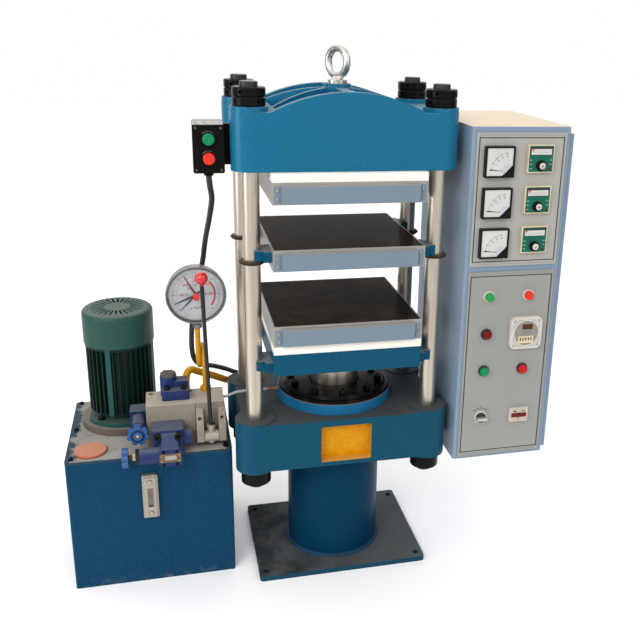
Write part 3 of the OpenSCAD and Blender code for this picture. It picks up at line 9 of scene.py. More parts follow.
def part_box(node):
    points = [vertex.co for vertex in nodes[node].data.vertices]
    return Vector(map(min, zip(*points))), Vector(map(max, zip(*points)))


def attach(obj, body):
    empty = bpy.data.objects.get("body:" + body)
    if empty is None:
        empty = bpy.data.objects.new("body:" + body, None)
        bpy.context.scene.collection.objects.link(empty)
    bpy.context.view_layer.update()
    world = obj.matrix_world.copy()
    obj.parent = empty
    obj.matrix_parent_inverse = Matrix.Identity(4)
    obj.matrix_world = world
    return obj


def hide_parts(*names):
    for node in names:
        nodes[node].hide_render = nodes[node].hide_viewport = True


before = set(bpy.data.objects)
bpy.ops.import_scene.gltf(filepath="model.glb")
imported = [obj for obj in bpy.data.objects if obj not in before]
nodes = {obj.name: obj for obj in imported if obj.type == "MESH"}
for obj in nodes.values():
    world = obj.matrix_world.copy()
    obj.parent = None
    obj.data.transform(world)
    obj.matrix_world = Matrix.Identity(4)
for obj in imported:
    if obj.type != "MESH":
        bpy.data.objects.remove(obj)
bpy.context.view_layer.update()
scene = bpy.context.scene

MM = 0.001
FRONT, BACK, UP, RIGHT = (0, -1, 0), (0, 1, 0), (0, 0, 1), (1, 0, 0)
ROWS = ("upper", "middle", "lower")

# Places that several pieces share, in millimetres
GAUGE_X, GAUGE_Z = -386, 808
MOTOR_X, MOTOR_Y = -603, 134
METER_X, CONTROLLER_X = 389.5, 505.5
ROW_PITCH = 109
PANEL_Y = -199
SELECTOR_Z = 466
TIMER_Z = 720

# Camera fitted to the photo: turns in degrees, picture lengths in pixels, place in millimetres
YAW, PITCH, ROLL = 15.3, -18.1, 1.9
PICTURE, FOCAL = 640, 835.1
MIDDLE_X, MIDDLE_Y = 389.5, 299.5
CAMERA_PLACE = (-448.3, -2232.4, 1525.1)
SENSOR = 36


def point(*place):
    """Point given in millimetres."""
    return Vector(place) * MM


def show(name, data):
    """New object in the scene."""
    piece = bpy.data.objects.new(name, data)
    scene.collection.objects.link(piece)
    return piece


def camera():
    """Camera at the photo's place; its axis meets the picture off the middle."""
    yaw, pitch, roll = (math.radians(angle) for angle in (YAW, PITCH, ROLL))
    ahead = Vector((math.sin(yaw) * math.cos(pitch), math.cos(yaw) * math.cos(pitch), math.sin(pitch)))
    level = Vector((math.cos(yaw), -math.sin(yaw), 0))
    above = level.cross(ahead)
    right = math.cos(roll) * level + math.sin(roll) * above
    up = -math.sin(roll) * level + math.cos(roll) * above
    lens = bpy.data.cameras.new("photo_camera")
    lens.sensor_width = SENSOR
    lens.lens = SENSOR * FOCAL / PICTURE
    lens.shift_x = (PICTURE / 2 - MIDDLE_X) / PICTURE
    lens.shift_y = (MIDDLE_Y - PICTURE / 2) / PICTURE
    lens.clip_start, lens.clip_end = 0.05, 60
    holder = show("photo_camera", lens)
    place = Matrix((right, up, -ahead)).transposed().to_4x4()
    place.translation = point(*CAMERA_PLACE)
    holder.matrix_world = place
    scene.camera = holder


camera()


# Materials
class Graph:
    """One procedural material in the making, on Object coordinates in metres."""

    def __init__(self, name):
        self.material = bpy.data.materials.new(name)
        self.material.use_nodes = True
        self.tree = self.material.node_tree
        self.tree.nodes.clear()
        out = self.add("ShaderNodeOutputMaterial")
        self.shader = self.add("ShaderNodeBsdfPrincipled")
        self.link(self.shader.outputs[0], out.inputs[0])
        source = self.add("ShaderNodeTexCoord")
        self.place = source.outputs["Object"]
        split = self.add("ShaderNodeSeparateXYZ")
        self.link(self.place, split.inputs[0])
        self.x, self.y, self.z = split.outputs
        split = self.add("ShaderNodeSeparateXYZ")
        self.link(source.outputs["Normal"], split.inputs[0])
        self.rise = split.outputs[2]

    def add(self, kind, **settings):
        node = self.tree.nodes.new(kind)
        for key, value in settings.items():
            setattr(node, key, value)
        return node

    def link(self, a, b):
        self.tree.links.new(a, b)

    def put(self, socket, value):
        """Links a socket to the input, or writes a number or colour into it."""
        if isinstance(value, bpy.types.NodeSocket):
            self.link(value, socket)
        elif isinstance(value, (tuple, list)) and socket.type == "RGBA":
            socket.default_value = tuple(value)[:3] + (1.0,)
        else:
            socket.default_value = value

    def set(self, **inputs):
        for key, value in inputs.items():
            self.put(self.shader.inputs[key.replace("_", " ")], value)

    def calc(self, operation, a, b=0.0, clamp=False):
        node = self.add("ShaderNodeMath", operation=operation, use_clamp=clamp)
        self.put(node.inputs[0], a)
        self.put(node.inputs[1], b)
        return node.outputs[0]

    def times(self, a, b, clamp=False):
        return self.calc("MULTIPLY", a, b, clamp)

    def most(self, a, b):
        return self.calc("MAXIMUM", a, b)

    def noise(self, scale, detail=3.0, rough=0.55, stretch=None):
        node = self.add("ShaderNodeTexNoise")
        place = self.place
        if stretch:
            mapping = self.add("ShaderNodeMapping")
            mapping.inputs["Scale"].default_value = stretch
            self.link(self.place, mapping.inputs["Vector"])
            place = mapping.outputs[0]
        self.link(place, node.inputs["Vector"])
        node.inputs["Scale"].default_value = scale
        node.inputs["Detail"].default_value = detail
        node.inputs["Roughness"].default_value = rough
        return node.outputs[0]

    def span(self, value, lo, hi):
        """0 at lo, 1 at hi, smooth between; lo may be the larger one."""
        node = self.add("ShaderNodeMapRange", interpolation_type="SMOOTHSTEP")
        for socket, number in zip(node.inputs, (value, lo, hi)):
            self.put(socket, number)
        return node.outputs[0]

    def mix(self, share, a, b):
        """Colour between a and b."""
        node = self.add("ShaderNodeMix", data_type="RGBA")
        for slot, value in ((0, share), (6, a), (7, b)):
            self.put(node.inputs[slot], value)
        return node.outputs[2]

    def blend(self, share, a, b):
        """Number between a and b."""
        node = self.add("ShaderNodeMix", data_type="FLOAT")
        for slot, value in ((0, share), (2, a), (3, b)):
            self.put(node.inputs[slot], value)
        return node.outputs[0]

    def within(self, axis, lo, hi, soft=0.0006):
        """1 between two places on an axis."""
        return self.times(self.span(axis, lo - soft, lo + soft), self.span(axis, hi + soft, hi - soft))

    def disc(self, a, b, middle_a, middle_b, radius, soft=0.0004):
        """1 inside a round on two axes."""
        off_a, off_b = self.calc("SUBTRACT", a, middle_a), self.calc("SUBTRACT", b, middle_b)
        away = self.calc("SQRT", self.calc("ADD", self.times(off_a, off_a), self.times(off_b, off_b)))
        return self.span(away, radius + soft, radius - soft)

    def up(self):
        """1 on what faces up."""
        return self.span(self.rise, 0.55, 0.95)

    def finish(self, height, strength, depth=0.001, edge=0.0):
        """Bump and softened edges close the material."""
        node = self.add("ShaderNodeBump")
        node.inputs["Strength"].default_value = strength
        node.inputs["Distance"].default_value = depth
        self.put(node.inputs["Height"], height)
        if edge:
            bevel = self.add("ShaderNodeBevel", samples=4)
            bevel.inputs["Radius"].default_value = edge
            self.link(bevel.outputs[0], node.inputs["Normal"])
        self.link(node.outputs[0], self.shader.inputs["Normal"])
        return self.material


WHITE = (1.0, 1.0, 1.0)
COLD = (0.45, 0.8, 1.0)


def paint(name, base, dark, light, dust=(0.3, 0.28, 0.25), dusty=0.5, rough=0.4, grain=250.0, edge=0.002,
          spec=0.18, orange=0.2, tint=COLD, above=None, chips=None, dust_darkening=None, foot=None):
    """Hammer paint: mottled colour, fine dimples and dust on what faces up.

    above=(height, colour, colour) is a lighter copy of the paint from a height up; the step between the two
    is painted light and shade.
    foot is the height up to which the paint is scuffed.
    chips=(x0, x1, y0, y1, width) shows paint through the dust along a plate's edges.
    stain=(x0, x1, colour) darkens the dust from x0 towards x1.
    """
    g = Graph(name)
    fine, broad = g.noise(grain, 3.0, 0.6), g.noise(6.0, 3.0)
    colour = g.mix(g.span(fine, 0.3, 0.66), dark, base)
    colour = g.mix(g.times(g.span(fine, 0.56, 0.78), 0.6), colour, light)
    colour = g.mix(g.times(g.span(broad, 0.45, 0.8), 0.3), colour, dark)
    if above:
        height, low, high = above
        colour = g.mix(g.span(g.z, height, height + 0.001), colour, g.mix(g.span(fine, 0.3, 0.7), low, high))
    if foot:
        scuff = g.times(g.span(g.z, foot, 0.0), g.span(g.noise(35.0, 6.0, 0.7), 0.5, 0.62))
        colour = g.mix(g.times(scuff, 0.6), colour, (0.09, 0.11, 0.13))
    speck = g.noise(45.0, 5.0, 0.65)
    cover = g.times(g.up(), g.times(g.span(speck, 0.1, 0.5), dusty), True)
    if chips:
        x0, x1, y0, y1, width = chips
        near_x = g.most(g.span(g.x, x0 + width, x0), g.span(g.x, x1 - width, x1))
        near_y = g.most(g.span(g.y, y0 + width, y0), g.span(g.y, y1 - width, y1))
        near = g.times(g.most(near_x, near_y), 0.3)
        chip = g.span(g.calc("ADD", g.noise(20.0, 6.0, 0.7), near), 0.68, 0.74)
        cover = g.times(cover, g.calc("SUBTRACT", 1.0, chip))
    # Dust drawn darker from x0 towards x1; on the base plate this is painted shadow.
    if dust_darkening:
        x0, x1, dark_dust = dust_darkening
        dust = g.mix(g.times(g.span(g.x, x0, x1), g.span(g.noise(9.0, 5.0, 0.65), 0.3, 0.62)), dust, dark_dust)
    g.set(Base_Color=g.mix(cover, colour, dust), Specular_IOR_Level=g.blend(cover, spec, 0.12),
          Roughness=g.blend(cover, g.blend(fine, rough - 0.06, rough + 0.1), 0.92), Specular_Tint=tint)
    return g.finish(fine, orange, 0.0005, edge)


def metal(name, base, dark, rough=0.25, streak=(400.0, 400.0, 6.0), full=1.0, edge=0.0008):
    """Machined metal with fine streaks and a few darker smears."""
    g = Graph(name)
    lines, smear = g.noise(1.0, 4.0, 0.6, streak), g.noise(14.0, 4.0, 0.6)
    colour = g.mix(g.span(lines, 0.3, 0.7), dark, base)
    colour = g.mix(g.times(g.span(smear, 0.55, 0.8), 0.5), colour, dark)
    worn = g.calc("ADD", g.times(lines, 0.6), g.times(smear, 0.4))
    g.set(Base_Color=colour, Metallic=full, Roughness=g.blend(worn, rough - 0.08, rough + 0.16))
    return g.finish(lines, 0.06, 0.0003, edge)


def plastic(name, base, dark, rough=0.35, grain=900.0, coat=0.0, spec=0.25):
    """Moulded plastic, enamel or rubber with a fine skin."""
    g = Graph(name)
    skin, broad = g.noise(grain, 2.0), g.noise(25.0, 3.0)
    g.set(Base_Color=g.mix(g.span(broad, 0.3, 0.75), base, dark), Coat_Weight=coat, Coat_Roughness=0.2,
          Roughness=g.blend(skin, rough - 0.06, rough + 0.1), Specular_IOR_Level=spec)
    return g.finish(skin, 0.08, 0.0003, 0.0006)


# Painted pieces: base, dark and light colour of the mottle
m_blue = paint("hammer_blue", (0.006, 0.132, 0.24), (0.004, 0.1, 0.185), (0.024, 0.23, 0.385),
               dust=(0.2, 0.22, 0.22), dusty=0.55, spec=0.4, rough=0.3)
m_table = paint("table_blue", (0.004, 0.075, 0.14), (0.003, 0.055, 0.105), (0.015, 0.13, 0.22))
# Barrel body drawn darker than its flange as painted shade under the lower beam; from 0.4912 m up the flange
# keeps the same blue at lit brightness.
m_barrel_shaded = paint("barrel_blue_painted_shade", (0.002, 0.038, 0.082), (0.0015, 0.026, 0.058), (0.008, 0.075, 0.14),
                 dusty=0.12, rough=0.3, spec=0.05, above=(0.4912, (0.008, 0.1, 0.22), (0.016, 0.15, 0.31)))
m_tank = paint("tank_blue", (0.004, 0.046, 0.102), (0.003, 0.032, 0.075), (0.014, 0.088, 0.168),
               dusty=0.7, edge=0.003, spec=0.12, foot=0.035)
m_lid = paint("lid_grey", (0.02, 0.05, 0.075), (0.012, 0.034, 0.05), (0.06, 0.1, 0.12),
              dust=(0.32, 0.297, 0.27), dusty=1.0, rough=0.6, tint=WHITE,
              chips=(-0.75, -0.309, -0.3, 0.3, 0.05), dust_darkening=(-0.62, -0.82, (0.15, 0.145, 0.14)))
# Base plate: the dust darkened from x 0.12 m towards the left is painted shadow of the press.
m_base = paint("base_grey", (0.006, 0.055, 0.1), (0.004, 0.035, 0.066), (0.03, 0.1, 0.16),
               dust=(0.078, 0.08, 0.08), dusty=1.0, rough=0.6,
               chips=(-0.28, 0.28, -0.28, 0.28, 0.05), dust_darkening=(0.12, -0.16, (0.024, 0.024, 0.023)))
m_cabinet = paint("cabinet_blue", (0.22, 0.296, 0.384), (0.185, 0.256, 0.34), (0.32, 0.4, 0.49),
                  dust=(0.65, 0.555, 0.425), dusty=4.0, grain=420.0, edge=0.004, tint=WHITE)
m_cowl = paint("cowl_green", (0.02, 0.07, 0.06), (0.015, 0.055, 0.047), (0.03, 0.09, 0.078),
               dust=(0.12, 0.145, 0.125), dusty=0.85, orange=0.08, tint=WHITE)
m_ring = paint("primer_brown", (0.13, 0.105, 0.085), (0.09, 0.07, 0.055), (0.2, 0.17, 0.14),
               dust=(0.2, 0.2, 0.17), dusty=0.6, rough=0.6, tint=WHITE)
m_navy = paint("valve_navy", (0.011, 0.024, 0.1), (0.008, 0.016, 0.068), (0.035, 0.06, 0.18),
               dust=(0.11, 0.12, 0.145), dusty=0.8, orange=0.15, edge=0.0015, grain=260.0)
m_cream = paint("valve_cream", (0.28, 0.243, 0.2), (0.2, 0.172, 0.138), (0.37, 0.325, 0.27),
                dust=(0.43, 0.38, 0.315), dusty=0.8, rough=0.6, grain=260.0, edge=0.0015, tint=WHITE)
m_black = paint("black_steel", (0.004, 0.004, 0.0042), (0.003, 0.003, 0.003), (0.012, 0.011, 0.011),
                dust=(0.07, 0.06, 0.05), dusty=0.2, rough=0.25, edge=0.0015, spec=0.1, tint=WHITE)
m_rust = paint("ring_brown", (0.03, 0.02, 0.014), (0.014, 0.01, 0.008), (0.08, 0.05, 0.03),
               dust=(0.16, 0.11, 0.07), dusty=0.6, rough=0.5, edge=0.001, tint=WHITE)
# Panel paint: the upper panel, from 0.903 m up, is drawn lighter than the lower one as painted light.
m_panel_lit_top = paint("panel_silver", (0.3, 0.3, 0.282), (0.272, 0.272, 0.256), (0.345, 0.345, 0.325), dusty=0.0,
                rough=0.42, grain=420.0, edge=0.001, orange=0.06, tint=WHITE,
                above=(0.903, (0.345, 0.338, 0.313), (0.395, 0.385, 0.355)))
m_cover = paint("cover_blue", (0.182, 0.234, 0.286), (0.158, 0.205, 0.255), (0.25, 0.3, 0.35),
                dust=(0.34, 0.32, 0.28), dusty=0.9, rough=0.36, grain=260.0, orange=0.1, edge=0.0012,
                tint=WHITE)
m_yellow = paint("pipe_yellow", (0.62, 0.29, 0.006), (0.46, 0.2, 0.004), (0.78, 0.42, 0.02),
                 dust=(0.5, 0.32, 0.1), dusty=0.4, rough=0.35, grain=300.0, orange=0.12, tint=WHITE)
m_orange = paint("cap_orange", (0.45, 0.11, 0.05), (0.34, 0.08, 0.035), (0.58, 0.2, 0.1),
                 dust=(0.5, 0.25, 0.17), dusty=0.75, rough=0.5, tint=WHITE)
m_box = paint("box_black", (0.006, 0.006, 0.0055), (0.004, 0.004, 0.004), (0.014, 0.013, 0.012),
              dust=(0.42, 0.4, 0.36), dusty=3.0, rough=0.34, grain=400.0, edge=0.001, orange=0.08, spec=0.06,
              tint=WHITE)

# Metal pieces: base and dark colour, roughness, density of the streaks along each axis
m_zinc = metal("zinc_steel", (0.75, 0.74, 0.69), (0.5, 0.49, 0.45), 0.3, (90.0,) * 3)
m_bright = metal("bright_steel", (0.6, 0.6, 0.58), (0.36, 0.36, 0.35), 0.3, (500.0,) * 3)
m_brass = metal("brass", (0.66, 0.45, 0.16), (0.42, 0.27, 0.09), 0.28, (400.0,) * 3)
m_beige = metal("ring_beige", (0.42, 0.37, 0.3), (0.28, 0.24, 0.19), 0.4, (500.0,) * 3, 0.5)
m_copper = metal("copper", (0.6, 0.26, 0.12), (0.36, 0.15, 0.07), 0.3, (600.0, 60.0, 600.0))
m_iron = metal("pump_iron", (0.2, 0.2, 0.2), (0.12, 0.12, 0.12), 0.5, (60.0,) * 3, 0.7)
m_level = metal("level_metal", (0.46, 0.42, 0.35), (0.33, 0.3, 0.245), 0.36, (200.0,) * 3, 0.75, 0.003)
m_bronze = metal("plate_bronze", (0.2, 0.14, 0.075), (0.12, 0.085, 0.05), 0.4, (300.0,) * 3, 0.6)

# Plastic pieces: base and dark colour, roughness
m_gloss = plastic("black_gloss", (0.009, 0.0085, 0.008), (0.005, 0.005, 0.005), 0.25, spec=0.12)
m_dark = plastic("dark_line", (0.03, 0.03, 0.03), (0.018, 0.018, 0.018), 0.5, coat=0.2)
m_rubber = plastic("conduit_black", (0.02, 0.02, 0.021), (0.034, 0.034, 0.035), 0.5, coat=0.2)
m_hose = plastic("hose_grey", (0.36, 0.36, 0.37), (0.25, 0.25, 0.26), 0.45, coat=0.2)
m_wheel = plastic("wheel_blue", (0.025, 0.11, 0.3), (0.015, 0.06, 0.2), 0.32, coat=0.1)
# Darker navy of the handwheel's recessed groove: painted shade.
m_groove_shade = plastic("wheel_groove_painted_shade", (0.008, 0.03, 0.1), (0.006, 0.02, 0.075), 0.4)
m_white = plastic("dial_white", (0.58, 0.585, 0.56), (0.52, 0.525, 0.505), 0.4, 200.0)
m_face = plastic("gauge_face", (0.5, 0.51, 0.53), (0.43, 0.44, 0.46), 0.45, 200.0)
m_green = plastic("controller_green", (0.002, 0.13, 0.082), (0.002, 0.1, 0.062), 0.5, 500.0)
m_bezel = plastic("controller_cream", (0.66, 0.55, 0.36), (0.56, 0.46, 0.3), 0.4, coat=0.2)
m_grey = plastic("indicator_grey", (0.59, 0.55, 0.49), (0.52, 0.48, 0.43), 0.4, coat=0.1)
m_disc = plastic("timer_grey", (0.25, 0.245, 0.23), (0.22, 0.215, 0.2), 0.4)
m_window = plastic("window_brown", (0.1, 0.028, 0.012), (0.075, 0.02, 0.009), 0.25)
m_start = plastic("button_green", (0.008, 0.3, 0.06), (0.006, 0.26, 0.05), 0.5)
m_station = plastic("station_green", (0.0, 0.21, 0.085), (0.0, 0.18, 0.07), 0.5)
m_stop = plastic("button_red", (0.72, 0.03, 0.014), (0.62, 0.022, 0.01), 0.5)
m_green_lens = plastic("lens_green", (0.0, 0.25, 0.075), (0.0, 0.2, 0.06), 0.3)
m_red_lens = plastic("lens_red", (0.5, 0.008, 0.008), (0.42, 0.006, 0.006), 0.3)
m_dim_lens = plastic("lens_dark_red", (0.15, 0.003, 0.006), (0.1, 0.002, 0.005), 0.25)
m_red = plastic("mark_red", (0.6, 0.03, 0.02), (0.5, 0.02, 0.015), 0.4, coat=0.2)
m_ivory = plastic("ivory_plastic", (0.5, 0.44, 0.33), (0.45, 0.4, 0.3), 0.45)
m_bridge = plastic("meter_bridge", (0.48, 0.51, 0.54), (0.44, 0.47, 0.5), 0.35)
m_cap = plastic("cap_cream", (0.66, 0.62, 0.54), (0.56, 0.52, 0.45), 0.4)
m_pane = plastic("level_pane", (0.15, 0.135, 0.115), (0.1, 0.088, 0.073), 0.2)


# Finishes that change with the place on the piece, in metres
def beam_finish():
    """Lower beam: hammer paint, grey dust on top and a yellow recess in front."""
    g = Graph("beam_blue")
    fine, broad = g.noise(330.0, 3.0, 0.6), g.noise(7.0)
    colour = g.mix(g.span(fine, 0.3, 0.66), (0.004, 0.05, 0.09), (0.006, 0.066, 0.115))
    colour = g.mix(g.times(g.span(fine, 0.6, 0.8), 0.35), colour, (0.016, 0.125, 0.21))
    cover = g.times(g.up(), g.span(g.noise(38.0, 5.0, 0.65), 0.12, 0.5), True)
    colour = g.mix(cover, colour, g.mix(broad, (0.078, 0.079, 0.075), (0.048, 0.053, 0.055)))
    opening = g.times(g.within(g.x, -0.0712, 0.0712), g.within(g.z, 0.364, 0.473))
    recess = g.times(opening, g.within(g.y, -0.1902, -0.15))
    yellow = g.mix(g.span(g.noise(60.0, 4.0), 0.3, 0.7), (0.58, 0.24, 0.0), (0.66, 0.29, 0.002))
    colour = g.mix(recess, colour, g.mix(g.times(g.up(), 0.4), yellow, (0.5, 0.33, 0.12)))
    g.set(Base_Color=colour, Roughness=g.blend(cover, g.blend(fine, 0.24, 0.4), 0.75),
          Specular_IOR_Level=g.blend(cover, 0.14, 0.06), Specular_Tint=COLD)
    return g.finish(fine, 0.2, 0.0005, 0.003)


def heat_plate_finish():
    """Heat plates: dark scaled faces with a worn lip, brushed edges."""
    g = Graph("heat_plate_steel")
    flat = g.span(g.calc("ABSOLUTE", g.rise), 0.5, 0.8)
    streak, blot = g.noise(1.0, 4.0, 0.6, (8.0, 700.0, 500.0)), g.noise(9.0, 5.0, 0.66)
    face = g.mix(g.span(blot, 0.35, 0.7), (0.009, 0.0075, 0.0065), (0.034, 0.021, 0.013))
    off_x, off_y = g.calc("ABSOLUTE", g.x), g.calc("ABSOLUTE", g.y)
    lip = g.most(g.span(off_x, 0.1955, 0.1985), g.span(off_y, 0.1985, 0.2015))
    worn = g.times(lip, g.span(g.noise(50.0, 4.0, 0.7), 0.25, 0.5))
    face = g.mix(worn, face, (0.3, 0.27, 0.22))
    edge = g.mix(streak, (0.3, 0.3, 0.29), (0.52, 0.5, 0.46))
    g.set(Base_Color=g.mix(flat, edge, face), Metallic=g.blend(flat, 0.8, 0.0),
          Specular_IOR_Level=g.blend(flat, 0.5, g.blend(worn, 0.004, 0.3)),
          Roughness=g.blend(flat, g.blend(streak, 0.32, 0.5), g.blend(blot, 0.16, 0.34)))
    return g.finish(streak, 0.08, 0.0003, 0.001)


def insulation_finish():
    """Pressed insulation board with a few scorched spots."""
    g = Graph("insulation_ivory")
    fibre = g.noise(240.0, 5.0, 0.7)
    colour = g.mix(g.span(fibre, 0.3, 0.7), (0.8, 0.765, 0.69), (0.9, 0.87, 0.8))
    scorch = g.times(g.span(g.noise(20.0, 4.0), 0.6, 0.85), 0.25)
    g.set(Base_Color=g.mix(scorch, colour, (0.55, 0.46, 0.33)), Roughness=0.85)
    return g.finish(fibre, 0.3, 0.0006, 0.001)


def gland_finish():
    """Gland disc: oily black with a rusty foot."""
    g = Graph("gland_black")
    film = g.noise(40.0, 4.0)
    oil = g.span(g.noise(18.0, 4.0, 0.6), 0.5, 0.72)
    colour = g.mix(oil, (0.004, 0.004, 0.0045), (0.018, 0.015, 0.012))
    colour = g.mix(g.within(g.z, 0.5, 0.5228, 0.0005), colour, (0.2, 0.085, 0.03))
    g.set(Base_Color=colour, Roughness=g.blend(film, 0.16, 0.36), Specular_IOR_Level=0.05)
    return g.finish(film, 0.05, 0.0005, 0.001)


def lever_finish():
    """Hand lever: black rod, red ball and cream hub."""
    g = Graph("lever_finish")
    skin = g.noise(150.0, 4.0, 0.6)
    ball, hub = g.span(g.z, 0.862, 0.866), g.span(g.z, 0.4613, 0.4607)
    colour = g.mix(skin, (0.008, 0.008, 0.008), (0.03, 0.028, 0.026))
    colour = g.mix(ball, colour, g.mix(skin, (0.5, 0.012, 0.01), (0.6, 0.02, 0.015)))
    colour = g.mix(hub, colour, g.mix(skin, (0.3, 0.26, 0.21), (0.44, 0.38, 0.31)))
    g.set(Base_Color=colour, Roughness=g.blend(hub, g.blend(ball, 0.38, 0.15), 0.55),
          Metallic=g.blend(ball, 0.4, 0.0), Coat_Weight=g.blend(ball, 0.1, 0.6))
    return g.finish(skin, 0.1, 0.0004, 0.0006)


def column_finish():
    """Columns and ram: ground steel, black at the threaded ends."""
    g = Graph("column_steel")
    streak, broad = g.noise(1.0, 4.0, 0.6, (900.0, 900.0, 3.0)), g.noise(14.0, 4.0)
    end = g.most(g.span(g.z, 1.3315, 1.332), g.span(g.z, 0.3435, 0.343))
    colour = g.mix(g.span(streak, 0.3, 0.7), (0.56, 0.495, 0.405), (0.74, 0.67, 0.57))
    colour = g.mix(end, colour, g.mix(broad, (0.008, 0.008, 0.008), (0.03, 0.027, 0.024)))
    g.set(Base_Color=colour, Metallic=g.blend(end, 1.0, 0.0),
          Roughness=g.blend(end, g.blend(streak, 0.28, 0.4), 0.4))
    return g.finish(streak, 0.02, 0.0002, 0.0008)


def valve_finish(name, place_trim):
    """Dusty navy valve body; place_trim(graph, noise, colour) adds the colours of its ends and screws."""
    g = Graph(name)
    fine = g.noise(260.0, 3.0, 0.6)
    colour = g.mix(g.span(fine, 0.3, 0.66), (0.01, 0.02, 0.08), (0.016, 0.034, 0.13))
    cover = g.times(g.up(), g.span(g.noise(45.0, 5.0, 0.65), 0.1, 0.55), True)
    colour = g.mix(g.times(cover, 0.8), colour, (0.1, 0.108, 0.132))
    g.set(Base_Color=place_trim(g, fine, colour), Roughness=g.blend(cover, g.blend(fine, 0.32, 0.46), 0.85),
          Specular_IOR_Level=0.2)
    return g.finish(fine, 0.15, 0.0005, 0.0015)


def screw_spots(g, colour, keep, across, along, places, radius):
    """Black rounds where the CAD has screws."""
    for a, b in places:
        colour = g.mix(g.times(keep, g.disc(across, along, a, b, radius)), colour, (0.008, 0.008, 0.008))
    return colour


def relief_trim(g, fine, colour):
    """Black collar and brass end on the left, two screws in front."""
    keep = g.span(g.y, -0.1195, -0.1205)
    colour = g.mix(g.span(g.x, -0.5552, -0.5556), colour, (0.012, 0.011, 0.01))
    colour = g.mix(g.span(g.x, -0.5652, -0.5656), colour, (0.5, 0.42, 0.26))
    return screw_spots(g, colour, keep, g.x, g.z, ((-0.5069, 0.456), (-0.4511, 0.456)), 0.0104)


def top_trim(g, fine, colour):
    """Brown cap and two screws on top."""
    keep = g.span(g.z, 0.5375, 0.538)
    brown = g.mix(fine, (0.075, 0.06, 0.052), (0.12, 0.1, 0.085))
    colour = g.mix(g.span(g.z, 0.5741, 0.5745), colour, brown)
    return screw_spots(g, colour, keep, g.x, g.y, ((-0.4769, -0.021), (-0.4311, -0.021)), 0.0083)


def hands_finish():
    """Limit hands: a red knob in front, a dark and a red hand behind it."""
    g = Graph("gauge_hands")
    skin = g.noise(500.0)
    hands = g.mix(g.span(g.z, 0.815, 0.817), (0.05, 0.05, 0.05), (0.2, 0.02, 0.018))
    knob = g.mix(skin, (0.6, 0.02, 0.015), (0.7, 0.04, 0.03))
    g.set(Base_Color=g.mix(g.span(g.y, 0.0035, 0.0045), knob, hands), Roughness=0.3)
    return g.finish(skin, 0.05, 0.0002)


def gauge_finish():
    """Grey gauge case with a painted shade line inside its rim."""
    g = Graph("gauge_shell_rim_shade")
    skin = g.noise(300.0)
    outer, inner = (g.disc(g.x, g.z, GAUGE_X * MM, GAUGE_Z * MM, radius) for radius in (0.0775, 0.0748))
    # Dark band just inside the rim, front only: painted shade of the rim's inner wall.
    rim = g.times(g.calc("SUBTRACT", outer, inner), g.span(g.y, 0.004, 0.003))
    shell = g.mix(skin, (0.2, 0.19, 0.176), (0.27, 0.256, 0.24))
    g.set(Base_Color=g.mix(rim, shell, (0.02, 0.019, 0.018)), Metallic=g.blend(rim, 0.6, 0.0), Roughness=0.4)
    return g.finish(skin, 0.04, 0.0003, 0.001)


def motor_finish():
    """Motor frame in one green paint: fins drawn nearly black as painted shade between them, broad ribs at
    four sides and the foot drawn lighter as lit faces.
    """
    g = Graph("motor_green")
    fine = g.noise(250.0, 3.0, 0.6)
    dx, dy = g.calc("ADD", g.x, -MOTOR_X * MM), g.calc("SUBTRACT", g.y, MOTOR_Y * MM)
    turn = math.radians(252)
    ca, sa = math.cos(turn), math.sin(turn)
    u = g.calc("ABSOLUTE", g.calc("ADD", g.times(dx, ca), g.times(dy, sa)))
    v = g.calc("ABSOLUTE", g.calc("SUBTRACT", g.times(dy, ca), g.times(dx, sa)))
    ribs = [g.times(g.span(side, 0.0078, 0.0072), g.span(out, 0.078, 0.082))
            for side, out in ((v, u), (u, v))]
    # Broad rib faces and foot keep the lit green; the fins elsewhere get painted shade.
    light = g.most(g.most(*ribs), g.span(g.z, 0.4452, 0.4446))
    shaded_fins = g.mix(fine, (0.003, 0.013, 0.011), (0.008, 0.026, 0.022))
    colour = g.mix(light, shaded_fins, g.mix(fine, (0.012, 0.056, 0.05), (0.022, 0.084, 0.076)))
    cover = g.times(g.up(), g.span(g.noise(45.0, 5.0, 0.65), 0.2, 0.8), True)
    g.set(Base_Color=g.mix(cover, colour, (0.09, 0.1, 0.085)), Roughness=g.blend(fine, 0.34, 0.5),
          Specular_IOR_Level=0.12)
    return g.finish(fine, 0.1, 0.0005, 0.0008)


def selector_finish():
    """Black selector with a bright arm."""
    g = Graph("selector_black")
    skin = g.noise(700.0)
    arm = g.span(g.y, -0.2076, -0.208)
    black = g.mix(skin, (0.008, 0.008, 0.008), (0.014, 0.014, 0.014))
    g.set(Base_Color=g.mix(arm, black, (0.55, 0.54, 0.52)), Metallic=g.blend(arm, 0.0, 0.7), Roughness=0.35)
    return g.finish(skin, 0.05, 0.0002)


def relief_wheel_finish():
    """Blue handwheel on a black stem."""
    g = Graph("relief_wheel")
    broad = g.noise(25.0, 3.0)
    stem = g.span(g.x, -0.5843, -0.5838)
    blue = g.mix(broad, (0.025, 0.11, 0.3), (0.015, 0.06, 0.2))
    g.set(Base_Color=g.mix(stem, blue, (0.008, 0.008, 0.008)), Roughness=g.blend(g.noise(900.0), 0.28, 0.4))
    return g.finish(broad, 0.05, 0.0003, 0.001)


def glass_finish():
    """Thin clear glass."""
    g = Graph("clear_glass")
    g.set(Base_Color=(0.9, 0.94, 0.94), Roughness=g.blend(g.noise(30.0), 0.01, 0.05), Transmission_Weight=1.0,
          IOR=1.1, Alpha=0.35, Specular_IOR_Level=0.9)
    return g.material


